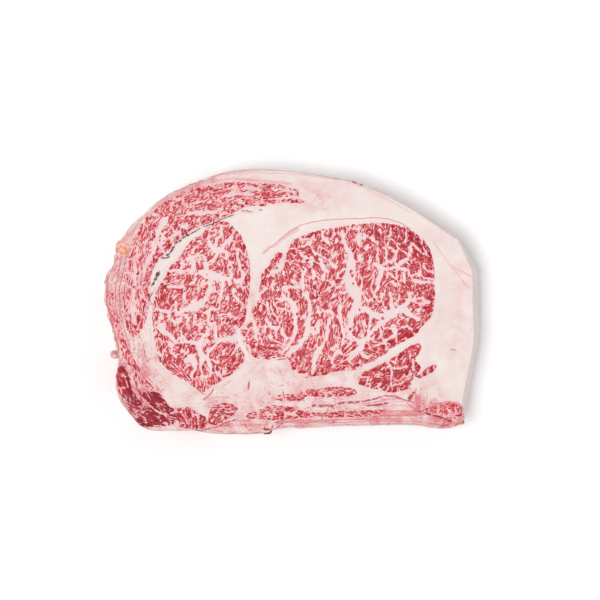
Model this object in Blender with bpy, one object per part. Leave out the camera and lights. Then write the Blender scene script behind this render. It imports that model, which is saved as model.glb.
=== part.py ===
"""A raw beef rib roast: one thick, richly marbled block that lies on a cut face, the other cut face up.

The outline of the upper face is a smooth closed curve through points measured on the meat. Each of them
also says how far the flat face stops short of the block's side there, and how deep the rounding goes. The
muscles are closed curves too: they stand a little proud of the fat, with a seam round each of them.
Sizes are in millimetres up to the last step, which turns them into metres. +X is to the right and +Y is
up on the cut face, and +Z points up out of it.
"""

import math

import bmesh
import bpy
import numpy as np
from mathutils import Vector
from mathutils.geometry import delaunay_2d_cdt

NAME = "rib_roast"
METRES_PER_MM = 0.001

THICKNESS = 48.0
OUTLINE_STEP = 3.3
MUSCLE_STEP = 4.2
FACE_STEP = 4.0
# At a corner the side's direction turns over this many of the outline's steps each way.
CORNER_REACH = 3

# The outline's measured points lie about their own zero, and this is the middle of the block's box there.
MIDDLE = (0.8, -0.2)

# The block's side: x, y, how far the flat face stops short of it, and the depth of the edge's rounding.
OUTLINE = (
    (-120.0, 8.0, 3.2, 5.0),
    (-118.8, 17.0, 3.2, 5.0),
    (-114.8, 23.5, 2.6, 4.0),
    (-113.0, 30.0, 3.0, 5.0),
    (-111.6, 36.5, 3.0, 5.0),
    (-108.0, 41.0, 2.6, 4.0),
    (-103.8, 47.4, 2.6, 4.0),
    (-95.8, 55.2, 3.0, 4.5),
    (-83.0, 66.0, 2.6, 4.0),
    (-66.0, 74.4, 2.2, 3.5),
    (-50.0, 80.5, 2.0, 3.0),
    (-38.0, 84.0, 1.6, 2.2),
    (-22.0, 85.2, 1.2, 1.6),
    (0.0, 83.8, 1.0, 1.4),
    (20.0, 81.0, 1.0, 1.2),
    (37.0, 78.6, 1.0, 1.2),
    (42.5, 76.0, 1.0, 1.2),
    (56.0, 71.5, 1.0, 1.2),
    (75.0, 61.6, 1.0, 1.2),
    (92.0, 50.6, 1.0, 1.4),
    (104.8, 42.2, 1.2, 3.0),
    (111.0, 35.8, 2.6, 9.0),
    (116.6, 27.0, 3.6, 15.0),
    (120.4, 18.5, 4.3, 20.0),
    (121.4, 7.0, 4.9, 24.0),
    (121.6, -8.0, 4.9, 24.0),
    (121.6, -21.0, 4.4, 24.0),
    (120.2, -34.0, 4.4, 24.0),
    (117.6, -47.0, 4.4, 24.0),
    (115.0, -60.0, 4.4, 22.0),
    (112.6, -72.0, 3.8, 16.0),
    (110.4, -78.2, 2.0, 6.0),
    (104.0, -81.2, 2.0, 5.0),
    (96.0, -82.2, 2.2, 5.0),
    (87.0, -81.2, 2.2, 5.0),
    (79.0, -79.9, 1.8, 5.0),
    (60.0, -80.0, 1.8, 6.0),
    (30.0, -80.8, 2.0, 6.0),
    (8.0, -82.0, 2.2, 6.0),
    (-4.0, -81.8, 1.6, 3.0),
    (-12.0, -83.0, 1.2, 2.0),
    (-16.5, -85.0, 1.2, 2.0),
    (-35.0, -85.7, 1.4, 2.5),
    (-52.0, -85.2, 1.6, 2.5),
    (-61.0, -83.4, 1.8, 3.0),
    (-74.0, -83.6, 2.4, 4.0),
    (-88.0, -83.4, 3.4, 6.0),
    (-97.0, -80.2, 4.2, 8.0),
    (-104.5, -72.0, 4.6, 9.0),
    (-110.6, -63.0, 4.6, 9.0),
    (-113.0, -52.0, 4.2, 8.0),
    (-111.4, -42.0, 3.2, 6.0),
    (-112.0, -31.0, 3.0, 5.0),
    (-115.4, -18.0, 3.2, 5.0),
    (-119.0, -6.0, 3.2, 5.0),
)

# Where the edge is as deep as this, it is no rounding but a side that flares out straight.
ROUND_DEPTH = 8.0
FLARED_DEPTH = 16.0
FLARED_ROUNDNESS = 0.12

# The muscles on the cut face, each with its curve, and the height that it stands proud.
EYE = (
    (-1, 37), (6, 41), (20, 45), (38, 48), (56, 49.5), (72, 47), (84, 39), (90, 26), (91.5, 8), (90.5, -7),
    (84, -15), (76, -24), (62, -33), (46, -41), (30, -45), (14, -48), (3, -45), (-4, -37), (-14, -37.5),
    (-25, -35), (-32, -24), (-26, -11), (-22, -2), (-20, 9), (-15, 21), (-8, 31),
)
INNER = (
    (-47, 50.5), (-38, 48), (-31, 39), (-27, 26), (-26.5, 8), (-29, -8), (-34, -19), (-33, -29), (-31, -40),
    (-42, -49), (-56, -57.5), (-67, -51), (-78, -44), (-85.5, -33), (-88, -14), (-86, 6), (-79, 20),
    (-68, 33), (-56, 43),
)
CAP = (
    (8, 63.5), (0, 72), (-14, 75), (-35, 76.5), (-58, 72), (-78, 64), (-91, 53.5), (-99, 42), (-105, 24),
    (-109, 6), (-107, -12), (-99, -25), (-94, -14), (-91, 6), (-88.5, 20), (-80, 30.5), (-71, 40.5),
    (-56, 49), (-41, 54.5), (-26, 61), (-10, 62),
)
FAN = (
    (42, -51), (52, -43.5), (66, -36), (80, -27.5), (83, -31), (79, -42), (77, -52), (66, -57.5), (52, -56),
)
FLANK = (
    (-107, -43), (-102, -48), (-98, -56), (-88, -57), (-79, -64), (-71, -74), (-78, -78), (-88, -77.5),
    (-94, -74), (-99, -67.5), (-103, -61), (-106, -52),
)
STRIP = (
    (-29, -75.5), (-16, -67.5), (6, -68.5), (30, -70), (54, -69.5), (54, -73.5), (24, -75), (0, -76.5),
)
PLATE = (
    (-55, -76), (-50, -67), (-42, -65.5), (-33, -70), (-42, -77), (-50, -80),
)
CORNER = (
    (84, -70), (96, -66.5), (107, -67.5), (106, -73.5), (94, -73),
)
MUSCLES = (
    (EYE, 1.1),
    (INNER, 1.0),
    (CAP, 0.8),
    (FAN, 0.8),
    (FLANK, 0.7),
    (STRIP, 0.5),
    (PLATE, 0.5),
    (CORNER, 0.5),
)
MUSCLE_EDGE = 7.0
SEAM_DEPTH = 0.5
SEAM_WIDTH = 1.6

# The whole face is a little uneven, in long waves: height, length and direction of each of them.
WAVES = (
    (0.45, 132.0, 0.5),
    (0.30, 78.0, 2.1),
    (0.22, 51.0, 1.2),
)

# The side below the edge: it draws in towards the base, more in some places than in others.
DRAW_IN = 3.8
DRAW_IN_CHANGE = 1.6
# It has slanting ripples: how many go round the block, how far each slants on its way down, and its start.
RIPPLE = 0.8
RIPPLES = (
    (5, 1.2, 0.4),
    (11, -2.2, 2.0),
    (19, 3.1, 4.1),
)
RIPPLE_GROWTH = 2.4
BASE_ROUNDING = 4.0
EDGE_ROWS = 3
SIDE_ROWS = 5
BASE_ROWS = 2

# Lumps fused to the block: middle, radii. A fat nugget, a small ball, and two ragged tags.
NUGGET = ((-107.2, 33.6, THICKNESS - 2.4), (6.2, 6.0, 3.6))
BALL = ((-113.4, -34.0, THICKNESS - 5.0), (3.0, 3.0, 3.0))
CORNER_TAG = ((108.6, -77.4, THICKNESS - 2.2), (2.6, 2.0, 2.2))
NOTCH_TAG = ((-15.4, -83.6, THICKNESS - 2.6), (3.4, 2.2, 2.4))
LUMPS = (NUGGET, BALL, CORNER_TAG, NOTCH_TAG)
LUMP_SEGMENTS = 14
LUMP_RINGS = 8


def clear_scene():
    for thing in list(bpy.data.objects):
        bpy.data.objects.remove(thing, do_unlink=True)


def make_material(name, colour, roughness):
    material = bpy.data.materials.new(name)
    material.use_nodes = True
    shader = material.node_tree.nodes["Principled BSDF"]
    shader.inputs["Base Color"].default_value = (*colour, 1.0)
    shader.inputs["Roughness"].default_value = roughness
    shader.inputs["Metallic"].default_value = 0.0
    return material


def smooth_step(value):
    value = np.clip(value, 0.0, 1.0)
    return value * value * (3.0 - 2.0 * value)


def closed_curve(points, step):
    """Points spaced evenly along the closed Catmull-Rom curve through the given ones."""
    points = np.array(points, dtype=float)
    before = np.roll(points, 1, axis=0)
    after = np.roll(points, -1, axis=0)
    beyond = np.roll(points, -2, axis=0)
    fine = []
    for t in np.linspace(0.0, 1.0, 12, endpoint=False):
        fine.append(
            0.5
            * (
                2.0 * points
                + (after - before) * t
                + (2.0 * before - 5.0 * points + 4.0 * after - beyond) * t**2
                + (3.0 * points - before - 3.0 * after + beyond) * t**3
            )
        )
    fine = np.stack(fine, axis=1).reshape(-1, points.shape[1])
    fine = np.vstack((fine, fine[:1]))
    lengths = np.linalg.norm(np.diff(fine[:, :2], axis=0), axis=1)
    along = np.concatenate(((0.0,), np.cumsum(lengths)))
    count = round(along[-1] / step)
    wanted = np.linspace(0.0, along[-1], count, endpoint=False)
    return np.column_stack([np.interp(wanted, along, column) for column in fine.T])


def outward(curve):
    """Unit vectors that point out of a closed curve that runs clockwise, turning slowly at corners."""
    run = np.roll(curve, -CORNER_REACH, axis=0) - np.roll(curve, CORNER_REACH, axis=0)
    run = run / np.linalg.norm(run, axis=1, keepdims=True)
    return np.column_stack((-run[:, 1], run[:, 0]))


def depth_inside(points, curve):
    """How far each point lies inside the closed curve, negative outside it."""
    start = curve
    step = np.roll(curve, -1, axis=0) - curve
    nearest = np.full(len(points), np.inf)
    inside = np.zeros(len(points), dtype=bool)
    x, y = points.T
    for (x0, y0), (dx, dy) in zip(start, step):
        share = np.clip(((x - x0) * dx + (y - y0) * dy) / (dx * dx + dy * dy), 0.0, 1.0)
        nearest = np.minimum(nearest, np.hypot(x - x0 - share * dx, y - y0 - share * dy))
        if dy != 0.0:
            crosses = (y0 > y) != (y0 + dy > y)
            inside ^= crosses & (x < x0 + (y - y0) * dx / dy)
    return np.where(inside, nearest, -nearest)


def relief(points, muscles):
    """Height of the cut face over its mean plane."""
    height = np.zeros(len(points))
    for size, length, direction in WAVES:
        along = points[:, 0] * math.cos(direction) + points[:, 1] * math.sin(direction)
        height += size * np.sin(math.tau * along / length)
    for curve, rise in muscles:
        depth = depth_inside(points, curve)
        height += rise * smooth_step(depth / MUSCLE_EDGE)
        height -= SEAM_DEPTH * np.exp(-((depth / SEAM_WIDTH) ** 2))
    return height


def face_points(rim, muscles):
    """The rim, the muscles' curves, and an even triangular grid of points between them."""
    points = [tuple(point) for point in rim]
    edges = [(i, (i + 1) % len(rim)) for i in range(len(rim))]
    for curve, _ in muscles:
        first = len(points)
        points += [tuple(point) for point in curve]
        edges += [(first + i, first + (i + 1) % len(curve)) for i in range(len(curve))]
    row_step = FACE_STEP * math.sqrt(3.0) / 2.0
    low = rim.min(axis=0)
    high = rim.max(axis=0)
    grid = []
    for row in range(math.ceil((high[1] - low[1]) / row_step)):
        shift = FACE_STEP / 2.0 * (row % 2)
        for column in range(math.ceil((high[0] - low[0]) / FACE_STEP)):
            grid.append((low[0] + shift + column * FACE_STEP, low[1] + row * row_step))
    grid = np.array(grid)
    keep = depth_inside(grid, rim) > FACE_STEP * 0.55
    for curve, _ in muscles:
        keep &= np.abs(depth_inside(grid, curve)) > FACE_STEP * 0.55
    points += [tuple(point) for point in grid[keep]]
    return points, edges


def edge_profile(inset, depth, turn):
    """Offset from the block's side and drop below the face, at a turn of 0 to 1 over the edge."""
    roundness = np.clip((FLARED_DEPTH - depth) / (FLARED_DEPTH - ROUND_DEPTH), FLARED_ROUNDNESS, 1.0)
    angle = turn * math.pi / 2.0
    out = roundness * math.sin(angle) + (1.0 - roundness) * turn
    down = roundness * (1.0 - math.cos(angle)) + (1.0 - roundness) * turn
    return -inset * (1.0 - out), depth * down


def ripple_depth(turns, share):
    """How deep the ripples cut into the side, at a share of 0 to 1 of the way down it."""
    waves = [1.0 - np.sin(count * turns + slant * share + start) for count, slant, start in RIPPLES]
    return RIPPLE * math.sin(share * RIPPLE_GROWTH) * sum(waves) / len(RIPPLES)


def side_rows(outline, rim_height):
    """The rows of points below the rim, down the side to the base."""
    curve = outline[:, :2]
    normal = outward(curve)
    inset, depth = outline[:, 2], outline[:, 3]
    turns = np.linspace(0.0, math.tau, len(curve), endpoint=False)
    draw_in = DRAW_IN + DRAW_IN_CHANGE * np.sin(2.0 * turns)
    rows = []
    for row in range(1, EDGE_ROWS + 1):
        turn = row / EDGE_ROWS
        offset, drop = edge_profile(inset, depth, turn)
        height = THICKNESS - drop + rim_height * (1.0 - turn)
        rows.append(np.column_stack((curve + normal * offset[:, None], height)))
    below = THICKNESS - depth
    for row in range(1, SIDE_ROWS + 1):
        share = row / SIDE_ROWS
        height = below + (BASE_ROUNDING - below) * share
        offset = -draw_in * share**2 - ripple_depth(turns, share)
        rows.append(np.column_stack((curve + normal * offset[:, None], height)))
    for row in range(1, BASE_ROWS + 1):
        angle = row / BASE_ROWS * math.pi / 2.0
        offset = -draw_in - ripple_depth(turns, 1.0) - BASE_ROUNDING * (1.0 - math.cos(angle))
        height = BASE_ROUNDING * (1.0 - math.sin(angle))
        rows.append(np.column_stack((curve + normal * offset[:, None], np.full(len(curve), height))))
    return rows


def build_block():
    """The block as a mesh in millimetres: triangulated cut face, lofted side and one flat base face."""
    outline = closed_curve(OUTLINE, OUTLINE_STEP)
    rim = outline[:, :2] - outward(outline[:, :2]) * outline[:, 2:3]
    muscles = [(closed_curve(curve, MUSCLE_STEP), rise) for curve, rise in MUSCLES]
    points, edges = face_points(rim, muscles)
    flat = [Vector(point) for point in points]
    flat, _, faces, sources, _, _ = delaunay_2d_cdt(flat, edges, [], 1, 1e-4)
    face_xy = np.array([(point.x, point.y) for point in flat])
    height = relief(face_xy, muscles)

    bm = bmesh.new()
    top = [bm.verts.new((x, y, THICKNESS + z)) for (x, y), z in zip(face_xy, height)]
    for face in faces:
        bm.faces.new([top[i] for i in face])
    ring = [None] * len(rim)
    rim_height = np.zeros(len(rim))
    for vertex, came_from, z in zip(top, sources, height):
        for i in came_from:
            if i < len(rim):
                ring[i] = vertex
                rim_height[i] = z
    for row in side_rows(outline, rim_height):
        lower = [bm.verts.new(point) for point in row]
        for i, vertex in enumerate(ring):
            after = (i + 1) % len(ring)
            bm.faces.new((vertex, ring[after], lower[after], lower[i]))
        ring = lower
    bm.faces.new(ring)
    bmesh.ops.recalc_face_normals(bm, faces=bm.faces)
    mark_lean(bm, muscles)
    return bm


def mark_lean(bm, muscles):
    """Gives the lean slot to the faces that lie within a muscle on the cut face."""
    bm.faces.ensure_lookup_table()
    middles = np.array([face.calc_center_median() for face in bm.faces])
    on_face = np.array([face.normal.z for face in bm.faces]) > 0.7
    lean = np.zeros(len(middles), dtype=bool)
    for curve, _ in muscles:
        lean |= depth_inside(middles[:, :2], curve) > 0.0
    for face, is_lean in zip(bm.faces, lean & on_face):
        face.material_index = int(is_lean)


def to_object(bm, name, collection):
    """Moves the mesh to the middle of its box, turns millimetres into metres and links it."""
    bmesh.ops.translate(bm, verts=bm.verts, vec=(-MIDDLE[0], -MIDDLE[1], 0.0))
    bmesh.ops.scale(bm, verts=bm.verts, vec=(METRES_PER_MM,) * 3)
    mesh = bpy.data.meshes.new(name)
    bm.to_mesh(mesh)
    bm.free()
    thing = bpy.data.objects.new(name, mesh)
    collection.objects.link(thing)
    return thing


def make_lumps(collection):
    """The nugget, ball and tags as ellipsoids, one mesh each."""
    lumps = []
    for number, (middle, radii) in enumerate(LUMPS):
        bm = bmesh.new()
        bmesh.ops.create_uvsphere(bm, u_segments=LUMP_SEGMENTS, v_segments=LUMP_RINGS, radius=1.0)
        bmesh.ops.scale(bm, verts=bm.verts, vec=radii)
        bmesh.ops.translate(bm, verts=bm.verts, vec=middle)
        lump = to_object(bm, f"lump_{number}", collection)
        lump.hide_render = True
        lump.display_type = "WIRE"
        lumps.append(lump)
    return lumps


def fuse(block, collection):
    union = block.modifiers.new("Lumps", "BOOLEAN")
    union.operation = "UNION"
    union.operand_type = "COLLECTION"
    union.collection = collection
    union.solver = "EXACT"


def main():
    clear_scene()
    roast = bpy.data.collections.new("raw_beef_rib_roast")
    helpers = bpy.data.collections.new("fused_lumps")
    bpy.context.scene.collection.children.link(roast)
    bpy.context.scene.collection.children.link(helpers)
    block = to_object(build_block(), NAME, roast)
    block.data.materials.append(make_material("beef_fat", (0.86, 0.75, 0.71), 0.45))
    block.data.materials.append(make_material("beef_lean", (0.50, 0.07, 0.09), 0.42))
    block.data.shade_smooth()
    block.data.set_sharp_from_angle(angle=math.radians(50))
    for lump in make_lumps(helpers):
        lump.data.materials.append(block.data.materials[0])
        lump.data.shade_smooth()
    fuse(block, helpers)


main()
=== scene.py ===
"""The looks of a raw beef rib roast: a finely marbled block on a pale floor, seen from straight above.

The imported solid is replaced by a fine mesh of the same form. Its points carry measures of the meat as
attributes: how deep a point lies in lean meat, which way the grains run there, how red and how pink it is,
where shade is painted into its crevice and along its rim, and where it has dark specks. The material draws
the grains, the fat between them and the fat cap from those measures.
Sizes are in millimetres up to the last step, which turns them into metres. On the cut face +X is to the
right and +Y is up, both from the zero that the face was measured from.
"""

import math

import bmesh
import bpy
import numpy as np
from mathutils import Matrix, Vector


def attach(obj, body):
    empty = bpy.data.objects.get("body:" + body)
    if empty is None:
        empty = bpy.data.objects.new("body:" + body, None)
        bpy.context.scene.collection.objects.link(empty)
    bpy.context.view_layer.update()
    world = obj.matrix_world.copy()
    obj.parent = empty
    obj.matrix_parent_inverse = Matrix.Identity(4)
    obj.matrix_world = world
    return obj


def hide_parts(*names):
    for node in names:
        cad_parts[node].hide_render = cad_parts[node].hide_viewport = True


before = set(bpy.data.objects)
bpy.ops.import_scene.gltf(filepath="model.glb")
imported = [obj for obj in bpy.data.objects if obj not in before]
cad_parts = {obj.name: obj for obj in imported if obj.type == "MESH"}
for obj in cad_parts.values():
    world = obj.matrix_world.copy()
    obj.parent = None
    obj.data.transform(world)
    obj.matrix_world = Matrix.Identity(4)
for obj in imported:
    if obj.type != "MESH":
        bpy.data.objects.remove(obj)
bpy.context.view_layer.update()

NODE = "rib_roast"
METRES_PER_MM = 0.001
THICKNESS = 48.0
MIDDLE = (0.8, -0.2)

# The block's side: x, y, how far the flat face stops short of it, and the depth of the edge's rounding.
OUTLINE = (
    (-120.0, 8.0, 3.2, 5.0),
    (-118.8, 17.0, 3.2, 5.0),
    (-114.8, 23.5, 2.6, 4.0),
    (-113.0, 30.0, 3.0, 5.0),
    (-111.6, 36.5, 3.0, 5.0),
    (-108.0, 41.0, 2.6, 4.0),
    (-103.8, 47.4, 2.6, 4.0),
    (-95.8, 55.2, 3.0, 4.5),
    (-83.0, 66.0, 2.6, 4.0),
    (-66.0, 74.4, 2.2, 3.5),
    (-50.0, 80.5, 2.0, 3.0),
    (-38.0, 84.0, 1.6, 2.2),
    (-22.0, 85.2, 1.2, 1.6),
    (0.0, 83.8, 1.0, 1.4),
    (20.0, 81.0, 1.0, 1.2),
    (37.0, 78.6, 1.0, 1.2),
    (42.5, 76.0, 1.0, 1.2),
    (56.0, 71.5, 1.0, 1.2),
    (75.0, 61.6, 1.0, 1.2),
    (92.0, 50.6, 1.0, 1.4),
    (104.8, 42.2, 1.2, 3.0),
    (111.0, 35.8, 2.6, 9.0),
    (116.6, 27.0, 3.6, 15.0),
    (120.4, 18.5, 4.3, 20.0),
    (121.4, 7.0, 4.9, 24.0),
    (121.6, -8.0, 4.9, 24.0),
    (121.6, -21.0, 4.4, 24.0),
    (120.2, -34.0, 4.4, 24.0),
    (117.6, -47.0, 4.4, 24.0),
    (115.0, -60.0, 4.4, 22.0),
    (112.6, -72.0, 3.8, 16.0),
    (110.4, -78.2, 2.0, 6.0),
    (104.0, -81.2, 2.0, 5.0),
    (96.0, -82.2, 2.2, 5.0),
    (87.0, -81.2, 2.2, 5.0),
    (79.0, -79.9, 1.8, 5.0),
    (60.0, -80.0, 1.8, 6.0),
    (30.0, -80.8, 2.0, 6.0),
    (8.0, -82.0, 2.2, 6.0),
    (-4.0, -81.8, 1.6, 3.0),
    (-12.0, -83.0, 1.2, 2.0),
    (-16.5, -85.0, 1.2, 2.0),
    (-35.0, -85.7, 1.4, 2.5),
    (-52.0, -85.2, 1.6, 2.5),
    (-61.0, -83.4, 1.8, 3.0),
    (-74.0, -83.6, 2.4, 4.0),
    (-88.0, -83.4, 3.4, 6.0),
    (-97.0, -80.2, 4.2, 8.0),
    (-104.5, -72.0, 4.6, 9.0),
    (-110.6, -63.0, 4.6, 9.0),
    (-113.0, -52.0, 4.2, 8.0),
    (-111.4, -42.0, 3.2, 6.0),
    (-112.0, -31.0, 3.0, 5.0),
    (-115.4, -18.0, 3.2, 5.0),
    (-119.0, -6.0, 3.2, 5.0),
)
# The outline's points that become the corners of the face's grid: left top, right top, right, left.
GRID_CORNERS = (8, 20, 31, 47)
ROUND_DEPTH = 8.0
FLARED_DEPTH = 16.0
FLARED_ROUNDNESS = 0.12
NORMAL_REACH_MM = 10.0

# The side below the edge, as in the solid: it draws in towards the base, with slanting ripples.
DRAW_IN = 3.8
DRAW_IN_CHANGE = 1.6
RIPPLE = 0.8
RIPPLES = (
    (5, 1.2, 0.4),
    (11, -2.2, 2.0),
    (19, 3.1, 4.1),
)
RIPPLE_GROWTH = 2.4
BASE_ROUNDING = 4.0

# The face's grid, in quads along and across; the base's grid has a quarter as many each way.
GRID_ALONG = 300
GRID_ACROSS = 212
BASE_SHARE = 4
EDGE_ROWS = 5
SIDE_ROWS = 13
BASE_ROWS = 3
# Points of a smooth curve for each given one, and how much of the base its grid covers each way.
FINE_STEPS = 12
BASE_GRID_SHARE = 0.985

# The muscles: curve, height that they stand proud, how dark the lean is, and how fatty it is.
EYE = (
    (-1, 33), (0, 38), (6, 41), (12, 43.5), (20, 45.5), (28, 47), (38, 48.5), (48, 49.5), (58, 49.8),
    (66, 49), (74, 46.5), (80, 43), (85, 38.5), (88.8, 33), (90.6, 26), (91.6, 18), (91.8, 8), (91.6, -2),
    (90, -9), (86, -14.5), (82, -18), (80, -21.5), (73, -25.5), (66, -29), (60, -34), (53, -37.5),
    (46, -42), (38, -44.5), (28, -45), (22, -47.5), (12, -48), (11, -46.5), (3, -46), (0, -42), (-3, -36),
    (-8, -36), (-15, -37.5), (-21, -37), (-25.5, -34), (-26, -29), (-31, -26), (-33, -21.5), (-31, -17),
    (-27.5, -13.5), (-25, -10), (-25.5, -6), (-22, -2), (-20.5, 3), (-20.5, 8), (-19, 14), (-18, 19),
    (-14, 22), (-12, 27), (-8, 31.5), (-4, 30),
)
INNER = (
    (-50, 50.5), (-44, 51), (-39.5, 50), (-36, 46), (-32.5, 42), (-30, 37), (-28, 31), (-26.6, 25),
    (-26.2, 18), (-26.6, 9), (-27, 3), (-28, -3), (-29, -9), (-31, -15), (-35, -20), (-34, -27), (-30.5, -33),
    (-29.5, -37), (-32, -41.5), (-36, -45.5), (-42, -49.5), (-46, -52.5), (-52, -55.5), (-56, -58.5),
    (-60, -57.5), (-63.5, -54), (-68, -51), (-73, -49), (-77, -46), (-80, -42.5), (-84, -38.5), (-86, -32),
    (-87.5, -23), (-88.5, -14), (-88.5, -4), (-87, 3), (-85, 10), (-81, 14.5), (-80, 18), (-77, 22.5),
    (-72, 27), (-69, 31.5), (-66.5, 35.5), (-62, 40), (-57, 42.5), (-54, 46.5),
)
CAP = (
    (8.5, 63), (5, 66.5), (5, 70), (1, 72), (-6, 74), (-14, 75), (-24, 75.5), (-35, 76.3), (-46, 75),
    (-57, 73), (-66, 70.5), (-75, 66.5), (-83, 62), (-89, 57), (-94, 51.5), (-99, 44), (-102, 36),
    (-104, 28), (-106, 20), (-108, 10), (-107, -2), (-106, -14), (-102, -23), (-98, -21), (-94, -16),
    (-91.5, -6), (-90.5, 4), (-90, 14), (-88, 21), (-84, 27), (-80.5, 30.5), (-76, 35), (-71, 40),
    (-63, 45), (-54, 49.5), (-44, 53.5), (-36, 57), (-28, 60.5), (-18, 61), (-8, 63), (2, 62.5),
)
FAN = (
    (42, -51.5), (46, -46), (52, -43.5), (58, -40), (64, -37), (70, -33), (76, -29), (81, -27), (83.5, -29),
    (81, -35), (79, -38), (83, -42), (80, -48), (77, -51.5), (75.5, -56), (70, -57.5), (63, -58.5),
    (57, -57), (51, -55.5), (46, -54),
)
FAN_TIP = (
    (80, -49), (84, -46), (88, -42), (93, -40.5), (92, -44.5), (87, -47), (83, -49.5),
)
SIDE_BAND = (
    (-113.5, 4), (-111, -8), (-107.5, -18), (-105, -28), (-100, -38), (-95.5, -46), (-90, -53), (-84.5, -58),
    (-90, -57.5), (-97, -52), (-103, -43), (-108, -34), (-111, -22), (-114.5, -10), (-117, 0), (-116, 8),
)
FLANK_OUTER = (
    (-112, -46), (-108.5, -41), (-105, -45), (-103, -51), (-100.5, -58), (-95, -64.5), (-97, -67.5),
    (-102, -66), (-107, -62), (-111, -58),
)
FLANK_INNER = (
    (-95.5, -60), (-92, -56.5), (-87, -57.5), (-82, -61.5), (-78, -67), (-73, -70), (-71, -74.5), (-76, -74),
    (-82, -71.5), (-88, -68), (-93, -65),
)
FLANK_LOWER = (
    (-101, -75), (-97, -70), (-92, -67.5), (-86, -71), (-79, -75), (-74, -77.5), (-80, -80), (-87, -80.5),
    (-93, -81), (-98, -79),
)
FLANK_FOOT = (
    (-73, -69), (-66, -68), (-61, -71), (-55, -74), (-53, -79), (-58, -82), (-66, -82), (-72, -79),
)
STRIP = (
    (-30, -75), (-25, -70.5), (-18, -69), (-14, -66.5), (-6, -67.5), (4, -68), (9, -70.5), (20, -71.5),
    (32, -70.5), (46, -70), (58, -69.5), (60, -71.5), (46, -74), (30, -74.5), (14, -74.5), (0, -75.5),
    (-12, -76.5), (-20, -75.5),
)
PLATE = (
    (-54, -75), (-50, -67.5), (-44, -65), (-37, -66.5), (-33.5, -70), (-38, -73.5), (-43, -77),
    (-48, -79.5), (-53, -78.5),
)
RIB_BAND = (
    (-11, -61.5), (-4, -60), (4, -59.5), (9, -56.5), (20, -55.5), (30, -54.8), (41, -56.5), (41, -60),
    (30, -61.5), (18, -61.5), (10, -61), (7, -64), (-2, -64), (-9, -63.5),
)
CORNER = (
    (84, -70), (92, -67), (100, -65), (106, -66), (110, -69), (109, -74), (102, -75.5), (94, -72.5),
)
WEDGE = (
    (37.5, -43), (41.5, -35.5), (45, -41),
)
MUSCLES = (
    (EYE, 1.1, 0.45, 0.10),
    (INNER, 1.0, 0.40, 0.18),
    (CAP, 0.8, 0.46, 0.40),
    (SIDE_BAND, 0.2, 0.30, 0.40),
    (FAN, 0.8, 0.68, -0.30),
    (FAN_TIP, 0.3, 0.60, 0.20),
    (FLANK_OUTER, 0.7, 1.00, -0.45),
    (FLANK_INNER, 0.7, 0.98, -0.30),
    (FLANK_LOWER, 0.6, 0.95, -0.40),
    (FLANK_FOOT, 0.4, 0.70, 0.10),
    (STRIP, 0.5, 0.55, 0.50),
    (PLATE, 0.5, 0.66, 0.45),
    (RIB_BAND, 0.4, 0.50, 0.25),
    (CORNER, 0.5, 0.32, -0.10),
    (WEDGE, 0.3, 0.60, -0.30),
)
MUSCLE_EDGE = 7.0
SEAM_DEPTH = 0.5
SEAM_WIDTH = 1.6
WAVES = (
    (0.45, 132.0, 0.5),
    (0.30, 78.0, 2.1),
    (0.22, 51.0, 1.2),
)

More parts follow.
